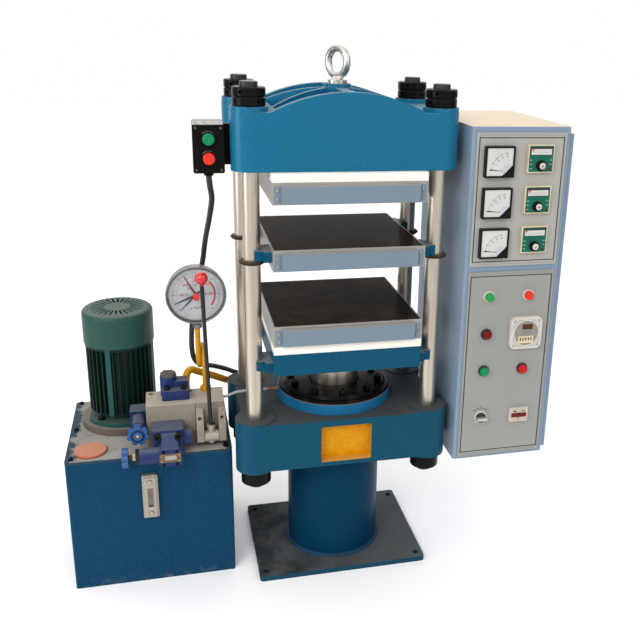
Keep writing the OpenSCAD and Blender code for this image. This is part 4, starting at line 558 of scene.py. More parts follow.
def dress():
    """Gives every CAD node its finish."""
    looks = {
        "base_plate": m_base, "cylinder_barrel": m_barrel_shaded, "lower_beam": beam_finish(), "crown_beam": m_blue,
        "lifting_eyebolt": m_zinc, "gland_ring": gland_finish(), "support_rings": m_rust,
        "oil_tank": m_tank, "tank_lid": m_lid, "level_gauge": m_level, "filler_cap": m_orange,
        "motor_mount_ring": m_ring, "motor_housing": motor_finish(), "motor_fan_cowl": m_cowl,
        "motor_rotor": m_bright, "gear_pump": m_iron, "side_valve": m_navy, "side_handwheel": m_wheel,
        "relief_valve": valve_finish("relief_navy", relief_trim), "relief_handwheel": relief_wheel_finish(),
        "top_valve": valve_finish("top_navy", top_trim), "hand_lever": lever_finish(),
        "gauge_case": gauge_finish(), "gauge_glass": glass_finish(), "gauge_pointer": m_dark,
        "gauge_set_knob": hands_finish(), "drain_hose": m_hose, "button_conduit": m_rubber,
        "button_box": m_box, "station_start_button": m_station, "cabinet_shell": m_cabinet,
        "instrument_panels": m_panel_lit_top, "temperature_controllers": m_bezel, "panel_indicators": m_grey,
        "panel_start_button": m_start, "selector_knob": selector_finish()}
    shared = (
        (column_finish(), ["columns", "ram"]),
        (m_black, ["column_nuts", "gland_bolts"]),
        (insulation_finish(), ["upper_insulation", "lower_insulation"]),
        (heat_plate_finish(), [row + "_heat_plate" for row in ROWS]),
        (m_cover, [row + "_plate_cover" for row in ROWS]),
        (m_gloss, ["ammeters"] + ["temperature_knob_" + row for row in ROWS]),
        (m_cream, ["manifold_block", "hand_valve"]),
        (m_yellow, ["gauge_siphon", "pressure_pipe"]),
        (m_table, ["moving_table", "middle_guides"]),
        (m_stop, ["station_stop_button", "panel_stop_button"]))
    for look, names in shared:
        looks.update(dict.fromkeys(names, look))
    for name, look in looks.items():
        slots = nodes[name].data.materials
        slots.clear()
        slots.append(look)


dress()


# Mesh helpers; sizes in millimetres where a function says so, places in metres
def ride(piece, body):
    """A piece that moves with a body."""
    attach(piece, body)
    return piece


def fixed(slot, *pieces):
    """Pieces that stand still with the press frame."""
    for piece in pieces:
        ride(piece, "press_frame")


def made(name, verts, faces, look, smooth=False):
    """Plain mesh with its faces outwards; smooth keeps edges over 35 degrees sharp."""
    mesh = bpy.data.meshes.new(name)
    mesh.from_pydata([tuple(v) for v in verts], [], faces)
    bm = bmesh.new()
    bm.from_mesh(mesh)
    bmesh.ops.recalc_face_normals(bm, faces=bm.faces)
    for face in bm.faces:
        face.smooth = smooth
    if smooth:
        for edge in bm.edges:
            if len(edge.link_faces) == 2 and edge.calc_face_angle(0) > math.radians(35):
                edge.smooth = False
    bm.to_mesh(mesh)
    bm.free()
    mesh.materials.append(look)
    return show(name, mesh)


def round_about(k, seg):
    """Cosine and sine of step k of a full turn."""
    angle = 2 * math.pi * k / seg
    return math.cos(angle), math.sin(angle)


def band(a, b, seg):
    """Faces between two rings of seg vertices that start at a and b."""
    return [(a + k, a + (k + 1) % seg, b + (k + 1) % seg, b + k) for k in range(seg)]


def turned(profile, seg=24):
    """Vertices and faces of a profile [(r, h), ...] in mm turned about +Z; r = 0 closes an end."""
    verts, faces, rows = [], [], []
    for r, h in profile:
        rows.append(len(verts))
        if r == 0:
            verts.append(point(0, 0, h))
        else:
            verts += [point(r * c, r * s, h) for c, s in (round_about(k, seg) for k in range(seg))]
    radii = [r for r, h in profile]
    for r0, r1, a, b in zip(radii, radii[1:], rows, rows[1:]):
        if r0 and r1:
            faces += band(a, b, seg)
        elif r1:
            faces += [(a, b + k, b + (k + 1) % seg) for k in range(seg)]
        elif r0:
            faces += [(a + k, a + (k + 1) % seg, b) for k in range(seg)]
    return verts, faces


def aim(direction, spin=0.0):
    """Turn that brings +Z to a direction, after a spin about it."""
    return Vector(direction).to_track_quat("Z", "Y").to_matrix().to_4x4() @ Matrix.Rotation(spin, 4, "Z")


def lathe(name, at, profile, look, seg=32, smooth=True):
    """Turned piece that points to the front; profile in mm."""
    verts, faces = turned(profile, seg)
    place = Matrix.Translation(at) @ aim(FRONT)
    return made(name, [place @ v for v in verts], faces, look, smooth)


def plate(name, back, w, h, t, look, corner=1.0, bevel=0.3):
    """Thin plate facing the front, with rounded corners and a bevelled edge, mm; back is its rear middle."""
    verts = []
    for inset, rise in ((0, 0), (0, t - bevel), (bevel, t)):
        r = max(corner - inset, 0.01)
        for sx, sy, start in ((1, 1, 0), (-1, 1, 90), (-1, -1, 180), (1, -1, 270)):
            x, y = sx * (w / 2 - corner), sy * (h / 2 - corner)
            for k in range(5):
                a = math.radians(start + 22.5 * k)
                verts.append(point(x + r * math.cos(a), y + r * math.sin(a), rise))
    n = len(verts) // 3
    faces = [tuple(range(n)), tuple(range(2 * n, 3 * n))] + band(0, n, n) + band(n, 2 * n, n)
    place = Matrix.Translation(back) @ Matrix.Rotation(math.radians(90), 4, "X")
    return made(name, [place @ v for v in verts], faces, look)


def flat_shape(name, centre, points, t, look):
    """Flat outline [(x, z), ...] about a centre in the front plane, t thick towards the back, mm."""
    x, y, z = centre
    verts = [point(x + a, yy, z + b) for yy in (y, y + t) for a, b in points]
    n = len(points)
    return made(name, verts, [tuple(range(n)), tuple(range(n, 2 * n))] + band(0, n, n), look)


def line_frame(name, x0, x1, z0, z1, y, width, t, look):
    """Rectangular line frame in the front plane, mm."""
    outer = [(x0, z0), (x1, z0), (x1, z1), (x0, z1)]
    a, b, c, d = x0 + width, x1 - width, z0 + width, z1 - width
    inner = [(a, c), (b, c), (b, d), (a, d)]
    verts = [point(x, yy, z) for yy in (y, y + t) for x, z in outer + inner]
    faces = [face for k, n in ((0, 4), (8, 12), (0, 8), (4, 12)) for face in band(k, n, 4)]
    return made(name, verts, faces, look)


def join(name, pieces):
    """One piece from several of the same look."""
    bm = bmesh.new()
    for piece in pieces:
        bm.from_mesh(piece.data)
    mesh = bpy.data.meshes.new(name)
    bm.to_mesh(mesh)
    bm.free()
    mesh.materials.append(pieces[0].data.materials[0])
    for piece in pieces:
        bpy.data.objects.remove(piece)
    return show(name, mesh)


def curve_points(knots, steps):
    """Smooth curve through points."""
    out = []
    for i in range(len(knots) - 1):
        a, b, c, d = (knots[min(max(i + k, 0), len(knots) - 1)] for k in (-1, 0, 1, 2))
        for j in range(steps):
            t = j / steps
            out.append(0.5 * (2 * b + (c - a) * t + (2 * a - 5 * b + 4 * c - d) * t * t
                              + (3 * b - a - 3 * c + d) * t ** 3))
    return out + [knots[-1]]


def hose(name, path, r, look, seg=20, ring=None):
    """Round tube along points with closed ends, metres; ring(length so far) gives a factor of the radius."""
    last = len(path) - 1
    ways = [(path[min(i + 1, last)] - path[max(i - 1, 0)]).normalized() for i in range(last + 1)]
    side = Vector(BACK) if abs(ways[0].y) < 0.8 else Vector(UP)
    verts, gone = [], 0.0
    for i, (spot, way) in enumerate(zip(path, ways)):
        side = (side - side.dot(way) * way).normalized()
        other = way.cross(side)
        gone += (spot - path[i - 1]).length if i else 0.0
        reach = r * (ring(gone) if ring else 1.0)
        verts += [spot + reach * (c * side + s * other) for c, s in (round_about(k, seg) for k in range(seg))]
    faces = [face for i in range(last) for face in band(i * seg, (i + 1) * seg, seg)]
    faces += [tuple(range(seg)), tuple(range(len(verts) - seg, len(verts)))]
    return made(name, verts, faces, look, True)


# Repeated small parts: one geometry-node tree copies a prototype to marked points
def scatter_tree():
    tree = bpy.data.node_groups.new("copy_to_places", "GeometryNodeTree")
    for name, way, kind in (("Places", "INPUT", "Geometry"), ("Prototype", "INPUT", "Object"),
                            ("Finish", "INPUT", "Material"), ("Size", "INPUT", "Float"),
                            ("Parts", "OUTPUT", "Geometry")):
        tree.interface.new_socket(name, in_out=way, socket_type="NodeSocket" + kind)
    new = tree.nodes.new
    given, result = new("NodeGroupInput").outputs, new("NodeGroupOutput").inputs
    turn = new("GeometryNodeInputNamedAttribute")
    turn.data_type = "FLOAT_VECTOR"
    turn.inputs["Name"].default_value = "turn"
    rotation, shape = new("FunctionNodeEulerToRotation"), new("GeometryNodeObjectInfo")
    copies, real = new("GeometryNodeInstanceOnPoints"), new("GeometryNodeRealizeInstances")
    finish = new("GeometryNodeSetMaterial")
    for a, b in ((given["Places"], copies.inputs["Points"]), (given["Prototype"], shape.inputs["Object"]),
                 (shape.outputs["Geometry"], copies.inputs["Instance"]),
                 (turn.outputs["Attribute"], rotation.inputs[0]),
                 (rotation.outputs[0], copies.inputs["Rotation"]), (given["Size"], copies.inputs["Scale"]),
                 (copies.outputs[0], real.inputs[0]),
                 (real.outputs[0], finish.inputs["Geometry"]), (given["Finish"], finish.inputs["Material"]),
                 (finish.outputs[0], result[0])):
        tree.links.new(a, b)
    return tree


TREE = scatter_tree()


def scatter(name, prototype, places, look, body="press_frame"):
    """Copies of a prototype (verts, faces, smooth) at [(point, turn), ...] as one plain mesh on a body."""
    verts, faces, smooth = prototype
    shape = made(name + "_shape", verts, faces, look, smooth)
    mesh = bpy.data.meshes.new(name + "_places")
    mesh.from_pydata([tuple(at) for at, turn in places], [], [])
    turns = mesh.attributes.new("turn", "FLOAT_VECTOR", "POINT")
    for mark, (at, turn) in zip(turns.data, places):
        mark.vector = turn.to_euler()
    piece = show(name, mesh)
    copies = piece.modifiers.new("copies", "NODES")
    copies.node_group = TREE
    keys = {socket.name: socket.identifier for socket in TREE.interface.items_tree}
    for key, value in (("Prototype", shape), ("Finish", look), ("Size", 1.0)):
        copies[keys[key]] = value
    plain = bpy.data.meshes.new_from_object(piece.evaluated_get(bpy.context.evaluated_depsgraph_get()))
    piece.modifiers.clear()
    piece.data = plain
    bpy.data.objects.remove(shape)
    ride(piece, body)


def hex_head(flats, h):
    """Hex bolt head with a washer face and a chamfered top, mm."""
    r, washer = flats / math.sqrt(3), flats * 0.62
    profile = [(0, 0), (washer, 0), (washer, h * 0.12), (r * 0.98, h * 0.13), (r, h * 0.2), (r, h * 0.85),
               (r * 0.9, h), (0, h)]
    return *turned(profile, 6), False


def socket_head(d, h):
    """Socket head screw with a sunk middle, mm."""
    r, round_off = d / 2, 0.08 * d
    profile = [(0, 0), (r, 0), (r, h - round_off), (r - round_off, h), (r * 0.56, h), (r * 0.5, h * 0.45),
               (0, h * 0.4)]
    return *turned(profile), True


def slot_head(d, h, slot=0.16):
    """Slotted pan head: a low disc with two crowned halves on it, mm."""
    r, steps = d / 2, 10
    verts, faces = turned([(0, 0), (r, 0), (r, h * 0.5), (0, h * 0.5)], 20)
    for side in (1, -1):
        rows = []
        for rr, rise in ((r, h * 0.5), (r * 0.97, h * 0.72), (r * 0.78, h)):
            start = math.asin(min(0.9, slot * r / rr))
            rows.append(range(len(verts), len(verts) + steps + 1))
            for k in range(steps + 1):
                a = start + (math.pi - 2 * start) * k / steps
                verts.append(point(rr * math.cos(a), side * rr * math.sin(a), rise))
        for a, b in zip(rows, rows[1:]):
            faces += [(a[k], a[k + 1], b[k + 1], b[k]) for k in range(steps)]
        wall = [row[0] for row in rows] + [row[-1] for row in rows[::-1]]
        faces += [tuple(rows[2]), tuple(rows[0]), tuple(wall)]
    return verts, faces, False


def bar(l, w, t):
    """Small bar with bevelled long edges, lying along local X, mm."""
    b = min(w, t) * 0.3
    profile = [(-w / 2, 0), (w / 2, 0), (w / 2, t - b), (w / 2 - b, t), (-w / 2 + b, t), (-w / 2, t - b)]
    verts = [point(x, y, z) for x in (-l / 2, l / 2) for y, z in profile]
    return verts, [tuple(range(6)), tuple(range(6, 12))] + band(0, 6, 6), False


# Cords: the routes of the CAD tubes, mm
DRAIN_ROUTE = ((-323, -20, 511), (-318.5, -20, 511), (-314, -20, 511), (-302, -21, 516), (-286, -22.5, 522),
               (-262, -24.5, 525.5), (-236, -26, 527), (-210, -27, 527.5), (-184, -28, 528), (-172, -28, 528))
DRAIN_END = ((-200, -27.4, 527.7), (-192, -27.7, 527.9), (-184, -28, 528), (-176, -28, 528))
CONDUIT_ROUTE = (
    (-346, -111, 1168), (-346, -111, 1154), (-344, -106, 1130), (-339, -74, 1090), (-345, -24, 1028),
    (-352, 26, 974), (-357, 54, 932), (-362, 66, 892), (-372, 74, 841), (-382, 82, 789), (-392, 88, 738),
    (-399, 88, 690), (-402, 86, 645), (-401, 88, 608), (-395, 95, 583), (-384, 108, 565), (-366, 127, 551),
    (-345, 149, 538), (-322, 169, 523), (-298, 187, 507), (-273, 203, 489), (-235, 215, 472),
    (-190, 221, 459), (-130, 223, 446), (-60, 224, 438), (10, 224, 434), (80, 222, 434), (150, 219, 437),
    (210, 212, 442), (262, 202, 447), (290, 196, 449), (314, 194, 450))
RING_PITCH = 0.012


def cords():
    path = curve_points([point(*q) for q in DRAIN_ROUTE], 8)
    drain = hose("drain_hose_skin", path, 0.004, m_hose)
    ride(drain, "press_frame")
    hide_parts("drain_hose")
    tip = hose("drain_hose_end", curve_points([point(*q) for q in DRAIN_END], 4), 0.0048, m_copper)
    ride(tip, "press_frame")
    path = curve_points([point(*q) for q in CONDUIT_ROUTE], 16)
    conduit = hose("button_conduit_skin", path, 0.0073, m_rubber,
                   ring=lambda s: 1.0 + 0.03 * math.sin(2 * math.pi * s / RING_PITCH))
    ride(conduit, "press_frame")
    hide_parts("button_conduit")


cords()


# Rigid pipes, smooth, with hex nuts
PIPE_START, PIPE_END = (-421, 35, 483), (0, 152, 250)
PIPE_RISE = ((0, 0, 0), (0, 9, 0), (0, 18, 0), (-1, 44, 9), (-2, 63, 31), (3, 75, 53), (16, 84, 59),
             (32, 93, 49), (56, 107, 34), (85, 126, 15), (114, 150, -8), (140, 170, -26))
PIPE_BEHIND = ((-240, 218.5, 430), (-180, 224.5, 380), (-110, 220.5, 320), (-45, 208, 270), (0, 184, 250),
               (0, 166, 250), PIPE_END)


def siphon():
    """Gauge pipe with one turn, from the gauge's stem down to the manifold."""
    low_x, y, turn_z, foot_z, r, steps = -370, 22, 614, 517, 29, 60
    path = [point(GAUGE_X, y, z) for z in (708, 690, 665, turn_z + 8)]
    for k in range(steps + 1):
        a = math.radians(360 * k / steps)
        x = GAUGE_X + (low_x - GAUGE_X) * k / steps
        path.append(point(x, y + r - r * math.cos(a), turn_z - r * math.sin(a)))
    path += [point(low_x, y, z) for z in (turn_z - 8, 580, 550, foot_z + 6)]
    tube = hose("siphon_tube", path, 0.0075, m_yellow, 24)
    verts, faces = turned([(0, 0), (15, 0), (15, 12.5), (13.2, 14), (8.6, 14), (8, 18), (0, 18)], 6)
    nut = made("siphon_nut", [point(low_x, y, foot_z) + v for v in verts], faces, m_yellow)
    piece = join("siphon_pipe", [tube, nut])
    ride(piece, "press_frame")
    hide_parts("gauge_siphon")


def pressure_line():
    """Pipe from the manifold's back round the lower beam to the cylinder."""
    start = Vector(PIPE_START)
    route = [start + Vector(q) for q in PIPE_RISE] + [Vector(q) for q in PIPE_BEHIND]
    parts = [hose("pressure_tube", curve_points([q * MM for q in route], 12), 0.0105, m_yellow, 24)]
    verts, faces = turned([(0, 0), (16.5, 0), (16.5, 14.5), (15, 16), (12, 16.4), (11, 20), (0, 20)], 6)
    for end in (PIPE_START, PIPE_END):
        place = Matrix.Translation(point(*end)) @ aim(BACK)
        parts.append(made("pressure_nut", [place @ v for v in verts], faces, m_yellow))
    piece = join("pressure_line", parts)
    ride(piece, "press_frame")
    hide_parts("pressure_pipe")


siphon()
pressure_line()


# Fasteners
def corners(at, dx, dz, turn):
    """Four places about a point in the front plane, dx and dz mm away from it."""
    return [(at + point(sx * dx, 0, sz * dz), turn) for sx in (-1, 1) for sz in (-1, 1)]


def cover_screws():
    inset_x, inset_z, sunk = 9 * MM, 11 * MM, 1.5 * MM
    for row, body in zip(ROWS, ("press_frame", "middle_platen", "ram_table")):
        node = row + "_plate_cover"
        lo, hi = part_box(node)
        spots = [(x, z) for x in (lo[0] + inset_x, hi[0] - inset_x)
                 for z in (lo[2] + inset_z, hi[2] - inset_z)]
        places = [(Vector((x, hi[1] - sunk, z)), aim(FRONT, 0.6 + 2.1 * k)) for k, (x, z) in enumerate(spots)]
        scatter(node + "_screws", slot_head(7, 2.6), places, m_bright, body)


def unit_screws():
    """Screws of the tank's lid and bolts of the motor's foot."""
    inset = 16 * MM
    lo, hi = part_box("tank_lid")
    spots = [(x, y) for x in (lo[0] + inset, hi[0] - inset)
             for y in (lo[1] + inset, (lo[1] + hi[1]) / 2, hi[1] - inset)]
    places = [(Vector((x, y, hi[2])), aim(UP, 0.3 * k)) for k, (x, y) in enumerate(spots)]
    scatter("lid_screws", socket_head(13, 7), places, m_black)
    places = []
    for k in range(4):
        a = math.radians(45 + 90 * k)
        places.append((point(MOTOR_X + 86 * math.cos(a), MOTOR_Y + 86 * math.sin(a), 426), aim(UP, a)))
    scatter("motor_bolts", hex_head(17, 9), places, m_black)


def box_trim():
    """Screws and bright strip of the button box."""
    left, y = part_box("button_box")[0][0], -144 * MM
    places = [(Vector((left + x * MM, y, z * MM)), aim(FRONT, 0.5)) for x in (8, 68) for z in (1176, 1278)]
    scatter("box_screws", slot_head(6, 2.2), places, m_bronze)
    back = Vector((left + 38 * MM, y, 1290 * MM))
    fixed("box_black", plate("box_strip", back, 74, 9, 2.5, m_zinc, 3, 1.2))


def cabinet_screws():
    middle, half = 453.5, 119
    places = [(point(middle + side * half, PANEL_Y, z), aim(FRONT, 0.4 * side + z))
              for side in (-1, 1) for z in (922, 1268, 351, 894)]
    scatter("panel_screws", slot_head(7, 2.2), places, m_bright)


def level_bolts():
    lo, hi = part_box("level_gauge")
    x, inset = (lo[0] + hi[0]) / 2, 17 * MM
    places = [(Vector((x, lo[1], z)), aim(FRONT, 0.2)) for z in (lo[2] + inset, hi[2] - inset)]
    scatter("level_bolts", hex_head(12, 5), places, m_level)


def door_screws():
    places = [(point(608, y, z), aim(RIGHT, 0.7)) for y in (-165, 185) for z in (360, 810, 1250)]
    scatter("door_screws", slot_head(9, 2.5), places, m_bright)


cover_screws()
unit_screws()
box_trim()
cabinet_screws()
level_bolts()
door_screws()


# Dials: scales and numbers on a front face
def numbers(name, items, y, size, look, slot):
    """Scale numbers as flat raised figures: [(text, x, z), ...], mm."""
    figures = []
    for text, x, z in items:
        curve = bpy.data.curves.new(name, "FONT")
        curve.body, curve.size, curve.extrude, curve.resolution_u = text, size * MM, 0.0001, 3
        curve.align_x = curve.align_y = "CENTER"
        figure = show(name, curve)
        figure.matrix_world = Matrix.Translation(point(x, y, z)) @ Matrix.Rotation(math.radians(90), 4, "X")
        bpy.context.view_layer.update()
        mesh = bpy.data.meshes.new_from_object(figure.evaluated_get(bpy.context.evaluated_depsgraph_get()))
        mesh.transform(figure.matrix_world)
        mesh.materials.clear()
        mesh.materials.append(look)
        bpy.data.objects.remove(figure)
        figures.append(show(name, mesh))
    fixed(slot, join(name, figures))


def clock(angle):
    """Direction on a dial, degrees clockwise from straight up."""
    a = math.radians(angle)
    return Vector((math.sin(a), 0, math.cos(a)))


def spread(start, end, count):
    """Even steps from start to end."""
    return [start + (end - start) * k / (count - 1) for k in range(count)]


def dial_marks(name, centre, r, angles, size, look):
    """Bars of size (length, width, thickness) that point away from a dial's centre, mm."""
    places = []
    for angle in angles:
        out = clock(angle)
        turn = Matrix((out, Vector(FRONT).cross(out), Vector(FRONT))).transposed()
        places.append((point(*centre) + out * r * MM, turn))
    scatter(name, bar(*size), places, look)


def dial_numbers(name, centre, r, labels, size, look, slot):
    """Numbers round a dial: [(text, angle), ...]."""
    x, y, z = centre
    items = [(text, x + r * clock(angle).x, z + r * clock(angle).z) for text, angle in labels]
    numbers(name, items, y, size, look, slot)


def gauge():
    """Pressure gauge: face, two scales, studs under the hands."""
    slot, face_y = "gauge_black", 12
    face = [(0, 0), (74.6, 0), (74.6, 0.6), (4, 0.6), (2.4, 0.4)]
    fixed(slot, lathe("gauge_face", point(GAUGE_X, face_y, GAUGE_Z), face, m_face, 64, False))
    front = (GAUGE_X, face_y - 0.6, GAUGE_Z)
    for name, r, end, count, l, w, look in (("ticks_small", 63, 135, 61, 4, 0.6, m_dark),
                                            ("ticks_large", 61, 135, 7, 8, 1.3, m_dark),
                                            ("arc_thin", 52, 45, 121, 0.6, 1.5, m_red)):
        dial_marks("gauge_" + name, front, r, spread(-135, end, count), (l, w, 0.3), look)
    dial_marks("gauge_arc", front, 51, spread(45, 128, 61), (4.2, 1.5, 0.3), m_red)
    above = (GAUGE_X, face_y - 0.75, GAUGE_Z)
    for name, r, size, look, scale in (("gauge_numbers", 40, 11, m_red, 100),
                                       ("gauge_numbers_inner", 26, 8.5, m_dark, 10)):
        labels = [(str(scale * k), -135 + 45 * k) for k in range(1, 6)]
        dial_numbers(name, above, r, labels, size, look, slot)
    places = [(point(GAUGE_X - 14 + 8 * k, face_y - 0.6, GAUGE_Z - 40 + 3 * (k % 2)), aim(FRONT, 0.9 * k))
              for k in range(5)]
    scatter("gauge_studs", slot_head(5, 1.4), places, m_brass)


gauge()


# Cabinet instruments
LEVEL_BAR = Matrix.Rotation(math.radians(90), 3, "X")
UPRIGHT_BAR = LEVEL_BAR @ Matrix.Rotation(math.radians(90), 3, "Z")


def ammeter(row, z):
    """White face with a cut corner, scale, numbers, bridge and needle."""
    slot, y, half, bridge_r = "meter_black", -211, 36, 15
    face = [(-half, -half), (half * 0.24, -half), (half, -half * 0.24), (half, half), (-half, half)]
    fixed(slot, flat_shape("ammeter_face_" + row, (METER_X, y - 0.4, z), face, 0.3, m_white))
    pivot = (METER_X + 24, y - 0.6, z - 24)
    dial_marks("ammeter_ticks_" + row, pivot, 48, spread(-84, -6, 21), (3, 0.5, 0.2), m_dark)
    dial_marks("ammeter_marks_" + row, pivot, 47, spread(-84, -6, 5), (6, 1.1, 0.2), m_dark)
    labels = [(str(5 * k), -84 + 19.5 * k) for k in range(5)]
    dial_numbers("ammeter_numbers_" + row, pivot, 39, labels, 5.2, m_dark, slot)
    turns = [math.radians(a) for a in range(45, 226, 15)]
    bridge = [(0.62 * half + bridge_r * math.cos(a), -0.62 * half + bridge_r * math.sin(a)) for a in turns]
    needle = ((8, -23.6), (-29, -21.9), (-29, -19.6), (8, -22.6))
    fixed(slot, flat_shape("ammeter_bridge_" + row, (METER_X, y - 0.7, z), bridge, 0.3, m_bridge),
          flat_shape("ammeter_needle_" + row, (METER_X, y - 1.1, z), needle, 0.3, m_dark))


def controller(row, z):
    """Green face with a scale window, side dashes, a red screw and the cap of its knob."""
    slot, x, y = "controller_cream", CONTROLLER_X, -209
    # Dark frame round the window: a real frame, with painted shade of the window's upper edge in its wider
    # top band.
    fixed(slot, plate("controller_face_" + row, point(x, y + 1.4, z), 68, 68, 1.9, m_green, 1.5),
          plate("controller_frame_" + row, point(x, y - 0.3, z + 20.5), 62, 22, 0.4, m_dark, bevel=0.1),
          plate("controller_window_" + row, point(x, y - 0.4, z + 18.5), 58, 15, 0.5, m_white))
    places = [(point(x - 22 + 3.6 * k, y - 0.9, z + 17.5 + (0 if k % 3 else 0.8)), UPRIGHT_BAR)
              for k in range(13)]
    scatter("controller_ticks_" + row, bar(3.5, 0.5, 0.2), places, m_dark)
    mark = ((-28, 25.5), (-20, 25.5), (-25.5, 19))
    fixed(slot, flat_shape("controller_mark_" + row, (x, y - 1.1, z), mark, 0.2, m_red))
    places = [(point(x + side * 28, y - 0.5, z - 3 - 11 * k), LEVEL_BAR)
              for side in (-1, 1) for k in range(3)]
    scatter("controller_dashes_" + row, bar(6, 1.4, 0.3), places, m_white)
    screw = [(0, 0), (3.4, 0), (3.4, 0.8), (2.2, 1.4), (0, 1.4)]
    fixed(slot, lathe("controller_screw_" + row, point(x + 27, y - 0.5, z - 27), screw, m_dim_lens, 20))
    body = "temperature_knob_%s_body" % row
    lo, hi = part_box("temperature_knob_" + row)
    tip = Vector(((lo[0] + hi[0]) / 2, lo[1], (lo[2] + hi[2]) / 2))
    cap = [(0, -0.2), (8.6, -0.2), (8.6, 0.5), (7.6, 1.2), (0, 1.4)]
    ride(lathe("knob_cap_" + row, tip, cap, m_cap), body)
    cross = [plate("cross", tip + point(0, -1.1, 0), w, h, 0.5, m_dark, 0.3, 0.1)
             for w, h in ((1.1, 12), (12, 1.1))]
    ride(join("knob_cross_" + row, cross), body)


def panel_borders():
    """Dark lines and raised rims of the two panels."""
    lines = [line_frame("line", 334, 573, z0, z1, -199.5, 2.2, 0.6, m_dark)
             for z0, z1 in ((928, 1262), (357, 888))]
    rims = [line_frame("rim", 327.5, 579.5, z0, z1, -200.6, 5, 1.7, m_panel_lit_top)
            for z0, z1 in ((916, 1274), (345, 900))]
    fixed("panel_silver", join("panel_lines", lines), join("panel_rims", rims))


def lamps():
    """Lenses and dark rings of the two lamps and the buzzer."""
    lens = [(0, 7.2), (12.9, 7.2), (13, 9), (12.6, 13.4), (10.5, 16.2), (6, 17.2), (0, 17.4)]
    ring = [(13.1, 0.2), (16, 0.2), (16, 5), (15, 7.4), (14.4, 7.6), (13.2, 7.4), (13.1, 0.2)]
    for name, x, z, look in (("lamp_green", METER_X, 610, m_green_lens),
                             ("lamp_red", CONTROLLER_X, 610, m_red_lens),
                             ("buzzer_lens", METER_X, TIMER_Z, m_dim_lens)):
        at = point(x, PANEL_Y, z)
        fixed("indicator_grey", lathe(name, at, lens, look, 40), lathe(name + "_ring", at, ring, m_dark, 40))


def timer():
    """Round bezel, brown window, thumbwheels and corner screws."""
    slot, x, y, z = "indicator_grey", CONTROLLER_X, -211, TIMER_Z
    bezel, disc = [(36, 0), (40, 0), (40, 1.2), (38, 2), (36, 1.2)], [(0, 0), (36.2, 0), (36.2, 1), (0, 1)]
    fixed(slot, lathe("timer_bezel", point(x, y + 0.5, z), bezel, m_grey, 64),
          lathe("timer_disc", point(x, y + 0.5, z), disc, m_disc, 64, False),
          plate("timer_window", point(x + 2, y - 0.4, z + 19), 30, 15, 0.8, m_window),
          plate("timer_wheels", point(x - 1, y - 0.4, z - 19), 46, 21, 1.2, m_bezel))
    places = [(point(x - 17 + 8 * k, y - 1.6, z - 17), UPRIGHT_BAR) for k in range(5)]
    scatter("timer_digit_slots", bar(9, 3.4, 0.3), places, m_dark)
    places = corners(point(x, y - 0.1, z), 37, 37, aim(FRONT, 0.5))
    scatter("timer_screws", slot_head(5, 1.2), places, m_bright)


def counter():
    """Ivory face, dark red window with five figures and three plain marks."""
    slot, x, y, z = "indicator_grey", CONTROLLER_X, -208, SELECTOR_Z
    fixed(slot, plate("counter_face", point(x, y + 1.9, z), 54, 40, 2.3, m_ivory, 1.5),
          plate("counter_window", point(x, y - 0.4, z), 46, 13.5, 0.8, m_dim_lens))
    numbers("counter_digits", [("0", x - 14 + 7 * k, z) for k in range(5)], y - 1.3, 8.5, m_window, slot)
    marks = [plate("mark", point(x + dx, y - 0.4, z + dz), w, h, 0.4, m_dark, 0.4, 0.1)
             for dx, dz, w, h in ((-13, 12, 8, 4), (13, 12, 10, 3), (-2, -10, 6, 3))]
    fixed(slot, join("counter_marks", marks))


def selector():
    """Scale and ring round the selector."""
    slot, centre = "panel_silver", (METER_X, PANEL_Y, SELECTOR_Z)
    dial_marks("selector_marks", centre, 32, (-45, 0, 45), (5, 1.2, 0.4), m_dark)
    dial_marks("selector_arc", centre, 27.5, spread(-42, 42, 31), (1.2, 1.5, 0.3), m_dark)
    ring = [(8, 0), (14.6, 0), (14.6, 2), (13.6, 3.6), (8, 3.6)]
    fixed(slot, lathe("selector_ring", point(*centre), ring, m_beige, 40))


for k, row in enumerate(ROWS):
    ammeter(row, 1200 - ROW_PITCH * k)
    controller(row, 1207 - ROW_PITCH * k)
panel_borders()
lamps()
timer()
counter()
selector()


# Trim of the hydraulic unit
def level_gauge():
    """Face that covers the slot, with the shorter pane, oil and mark on it."""
    lo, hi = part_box("level_gauge")
    x, z = (lo[0] + hi[0]) / 2, (lo[2] + hi[2]) / 2
    for name, rise, w, h, look, corner, out in (("face", 0, 20, 82, m_level, 4, -0.1),
                                                ("pane", 0, 15, 58, m_pane, 2, 0.3),
                                                ("oil", -25, 13, 7, m_dark, 1, 0.6),
                                                ("mark", -19, 3, 3, m_red, 1, 0.6)):
        back = Vector((x, lo[1] - out * MM, z + rise * MM))
        fixed("level_metal", plate("level_" + name, back, w, h, 0.5, look, corner, 0.1))


def relief_plate():
    """Bare plate with pins on the relief valve, and the valve's own screws."""
    at, turn = point(-475.5, -169, 411), aim(FRONT, 0.3)
    fixed("valve_navy", plate("relief_plate", at, 56, 25, 1.0, m_bronze, 1.5),
          plate("relief_label", at + point(1, -1, 1), 30, 13, 0.4, m_level, 0.6, 0.1))
    pins = corners(at + point(0, -1, 0), 22.5, 9.5, turn)
    scatter("relief_plate_pins", slot_head(4, 1.0, 0.02), pins, m_brass)
    scatter("pilot_screws", socket_head(8, 3), corners(at, 17, 19, turn), m_black)


def star_wheel():
    """Painted shade of the groove as a flat dark ring, raised ring and screw on the star handwheel."""
    hub = point(-557.5, -119.9, 457)
    groove = [(12, -0.1), (19, -0.1), (19, 0.15), (12, 0.15)]
    ring = [(6, -0.2), (11, -0.2), (11, 1.2), (10, 2), (7, 2), (6, 1.2)]
    screw = [(0, -0.2), (4.6, -0.2), (4.6, 1.4), (3.4, 2.4), (0, 2.6)]
    for piece in (lathe("star_groove", hub + point(0, 4, 0), groove, m_groove_shade, 48),
                  lathe("star_ring", hub, ring, m_wheel), lathe("star_screw", hub, screw, m_brass, 24)):
        ride(piece, "side_handwheel_body")


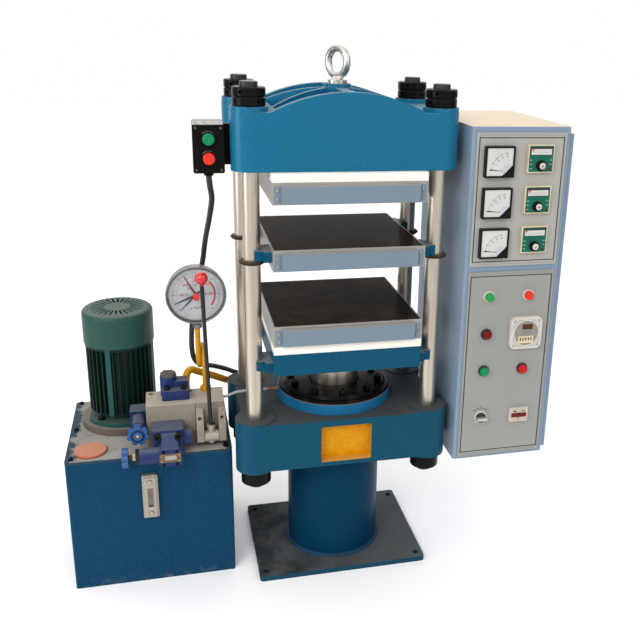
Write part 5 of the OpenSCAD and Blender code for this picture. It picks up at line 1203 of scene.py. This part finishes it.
level_gauge()
relief_plate()
star_wheel()


# Stage: pale floor, soft light
WALL, CEILING = 0.18, 1.15
# Lamps: place, aim, size and power
LAMPS = {"key": ((-2.4, -3.2, 3.4), (0, 0, 0.8), 1.6, 85), "fill": ((2.6, -3.4, 2.4), (0.1, 0, 0.7), 2.4, 15),
         "rim": ((0.5, 2.8, 3.2), (0, 0, 0.9), 2.5, 30), "window": ((-3.2, -0.9, 1.2), (0, 0, 1.2), 1.2, 24)}


def sky():
    """Pale room: bright ceiling, even light in front and behind, dimmer walls left and right."""
    world = bpy.data.worlds.new("studio")
    world.use_nodes = True
    tree = world.node_tree
    light = tree.nodes["Background"].inputs
    light[0].default_value = (1.0, 0.995, 1.0, 1)

    def node(kind, *inputs, **settings):
        new = tree.nodes.new(kind)
        for key, value in settings.items():
            setattr(new, key, value)
        for k, value in enumerate(inputs):
            if isinstance(value, bpy.types.NodeSocket):
                tree.links.new(value, new.inputs[k])
            else:
                new.inputs[k].default_value = value
        return new.outputs

    def calc(operation, *inputs):
        return node("ShaderNodeMath", *inputs, operation=operation)[0]

    def span(*inputs):
        return node("ShaderNodeMapRange", *inputs, interpolation_type="SMOOTHSTEP")[0]

    x, y, z = node("ShaderNodeSeparateXYZ", node("ShaderNodeTexCoord")["Generated"])
    level = calc("SQRT", calc("ADD", calc("MULTIPLY", x, x), calc("MULTIPLY", y, y)))
    side = calc("DIVIDE", calc("ABSOLUTE", x), level)
    wall = span(side, 0.6, 0.96, 1.0, WALL)
    mix = tree.nodes.new("ShaderNodeMix")
    mix.inputs[3].default_value = CEILING
    tree.links.new(span(z, 0.12, 0.55), mix.inputs[0])
    tree.links.new(wall, mix.inputs[2])
    tree.links.new(mix.outputs[0], light[1])
    return world


def stage():
    """Pale floor that turns to a soft grey outside the main picture, with four soft lamps."""
    mesh = bpy.data.meshes.new("floor")
    mesh.from_pydata([(-12, -10, 0), (12, -10, 0), (12, 14, 0), (-12, 14, 0)], [], [(0, 1, 2, 3)])
    g = Graph("floor_pale")
    sheet = g.mix(g.noise(3.0), (0.93, 0.925, 0.925), (0.955, 0.95, 0.95))
    left = g.times(g.span(g.x, -1.3, -3.0), g.span(g.y, 7.0, 2.0))
    right = g.times(g.span(g.x, 1.1, 2.8), g.span(g.y, 2.2, -0.4))
    outside = g.most(g.most(left, right), g.span(g.y, -0.45, -2.0))
    g.set(Base_Color=g.mix(outside, sheet, (0.46, 0.46, 0.46)), Roughness=0.9)
    mesh.materials.append(g.material)
    show("floor", mesh)
    scene.world = sky()
    for name, (at, to, size, power) in LAMPS.items():
        light = bpy.data.lights.new(name, "AREA")
        light.energy, light.size = power, size
        lamp = show(name, light)
        lamp.location = at
        lamp.rotation_euler = (Vector(to) - Vector(at)).to_track_quat("-Z", "Y").to_euler()
    scene.view_settings.view_transform = "Standard"
    scene.view_settings.look = "None"


stage()
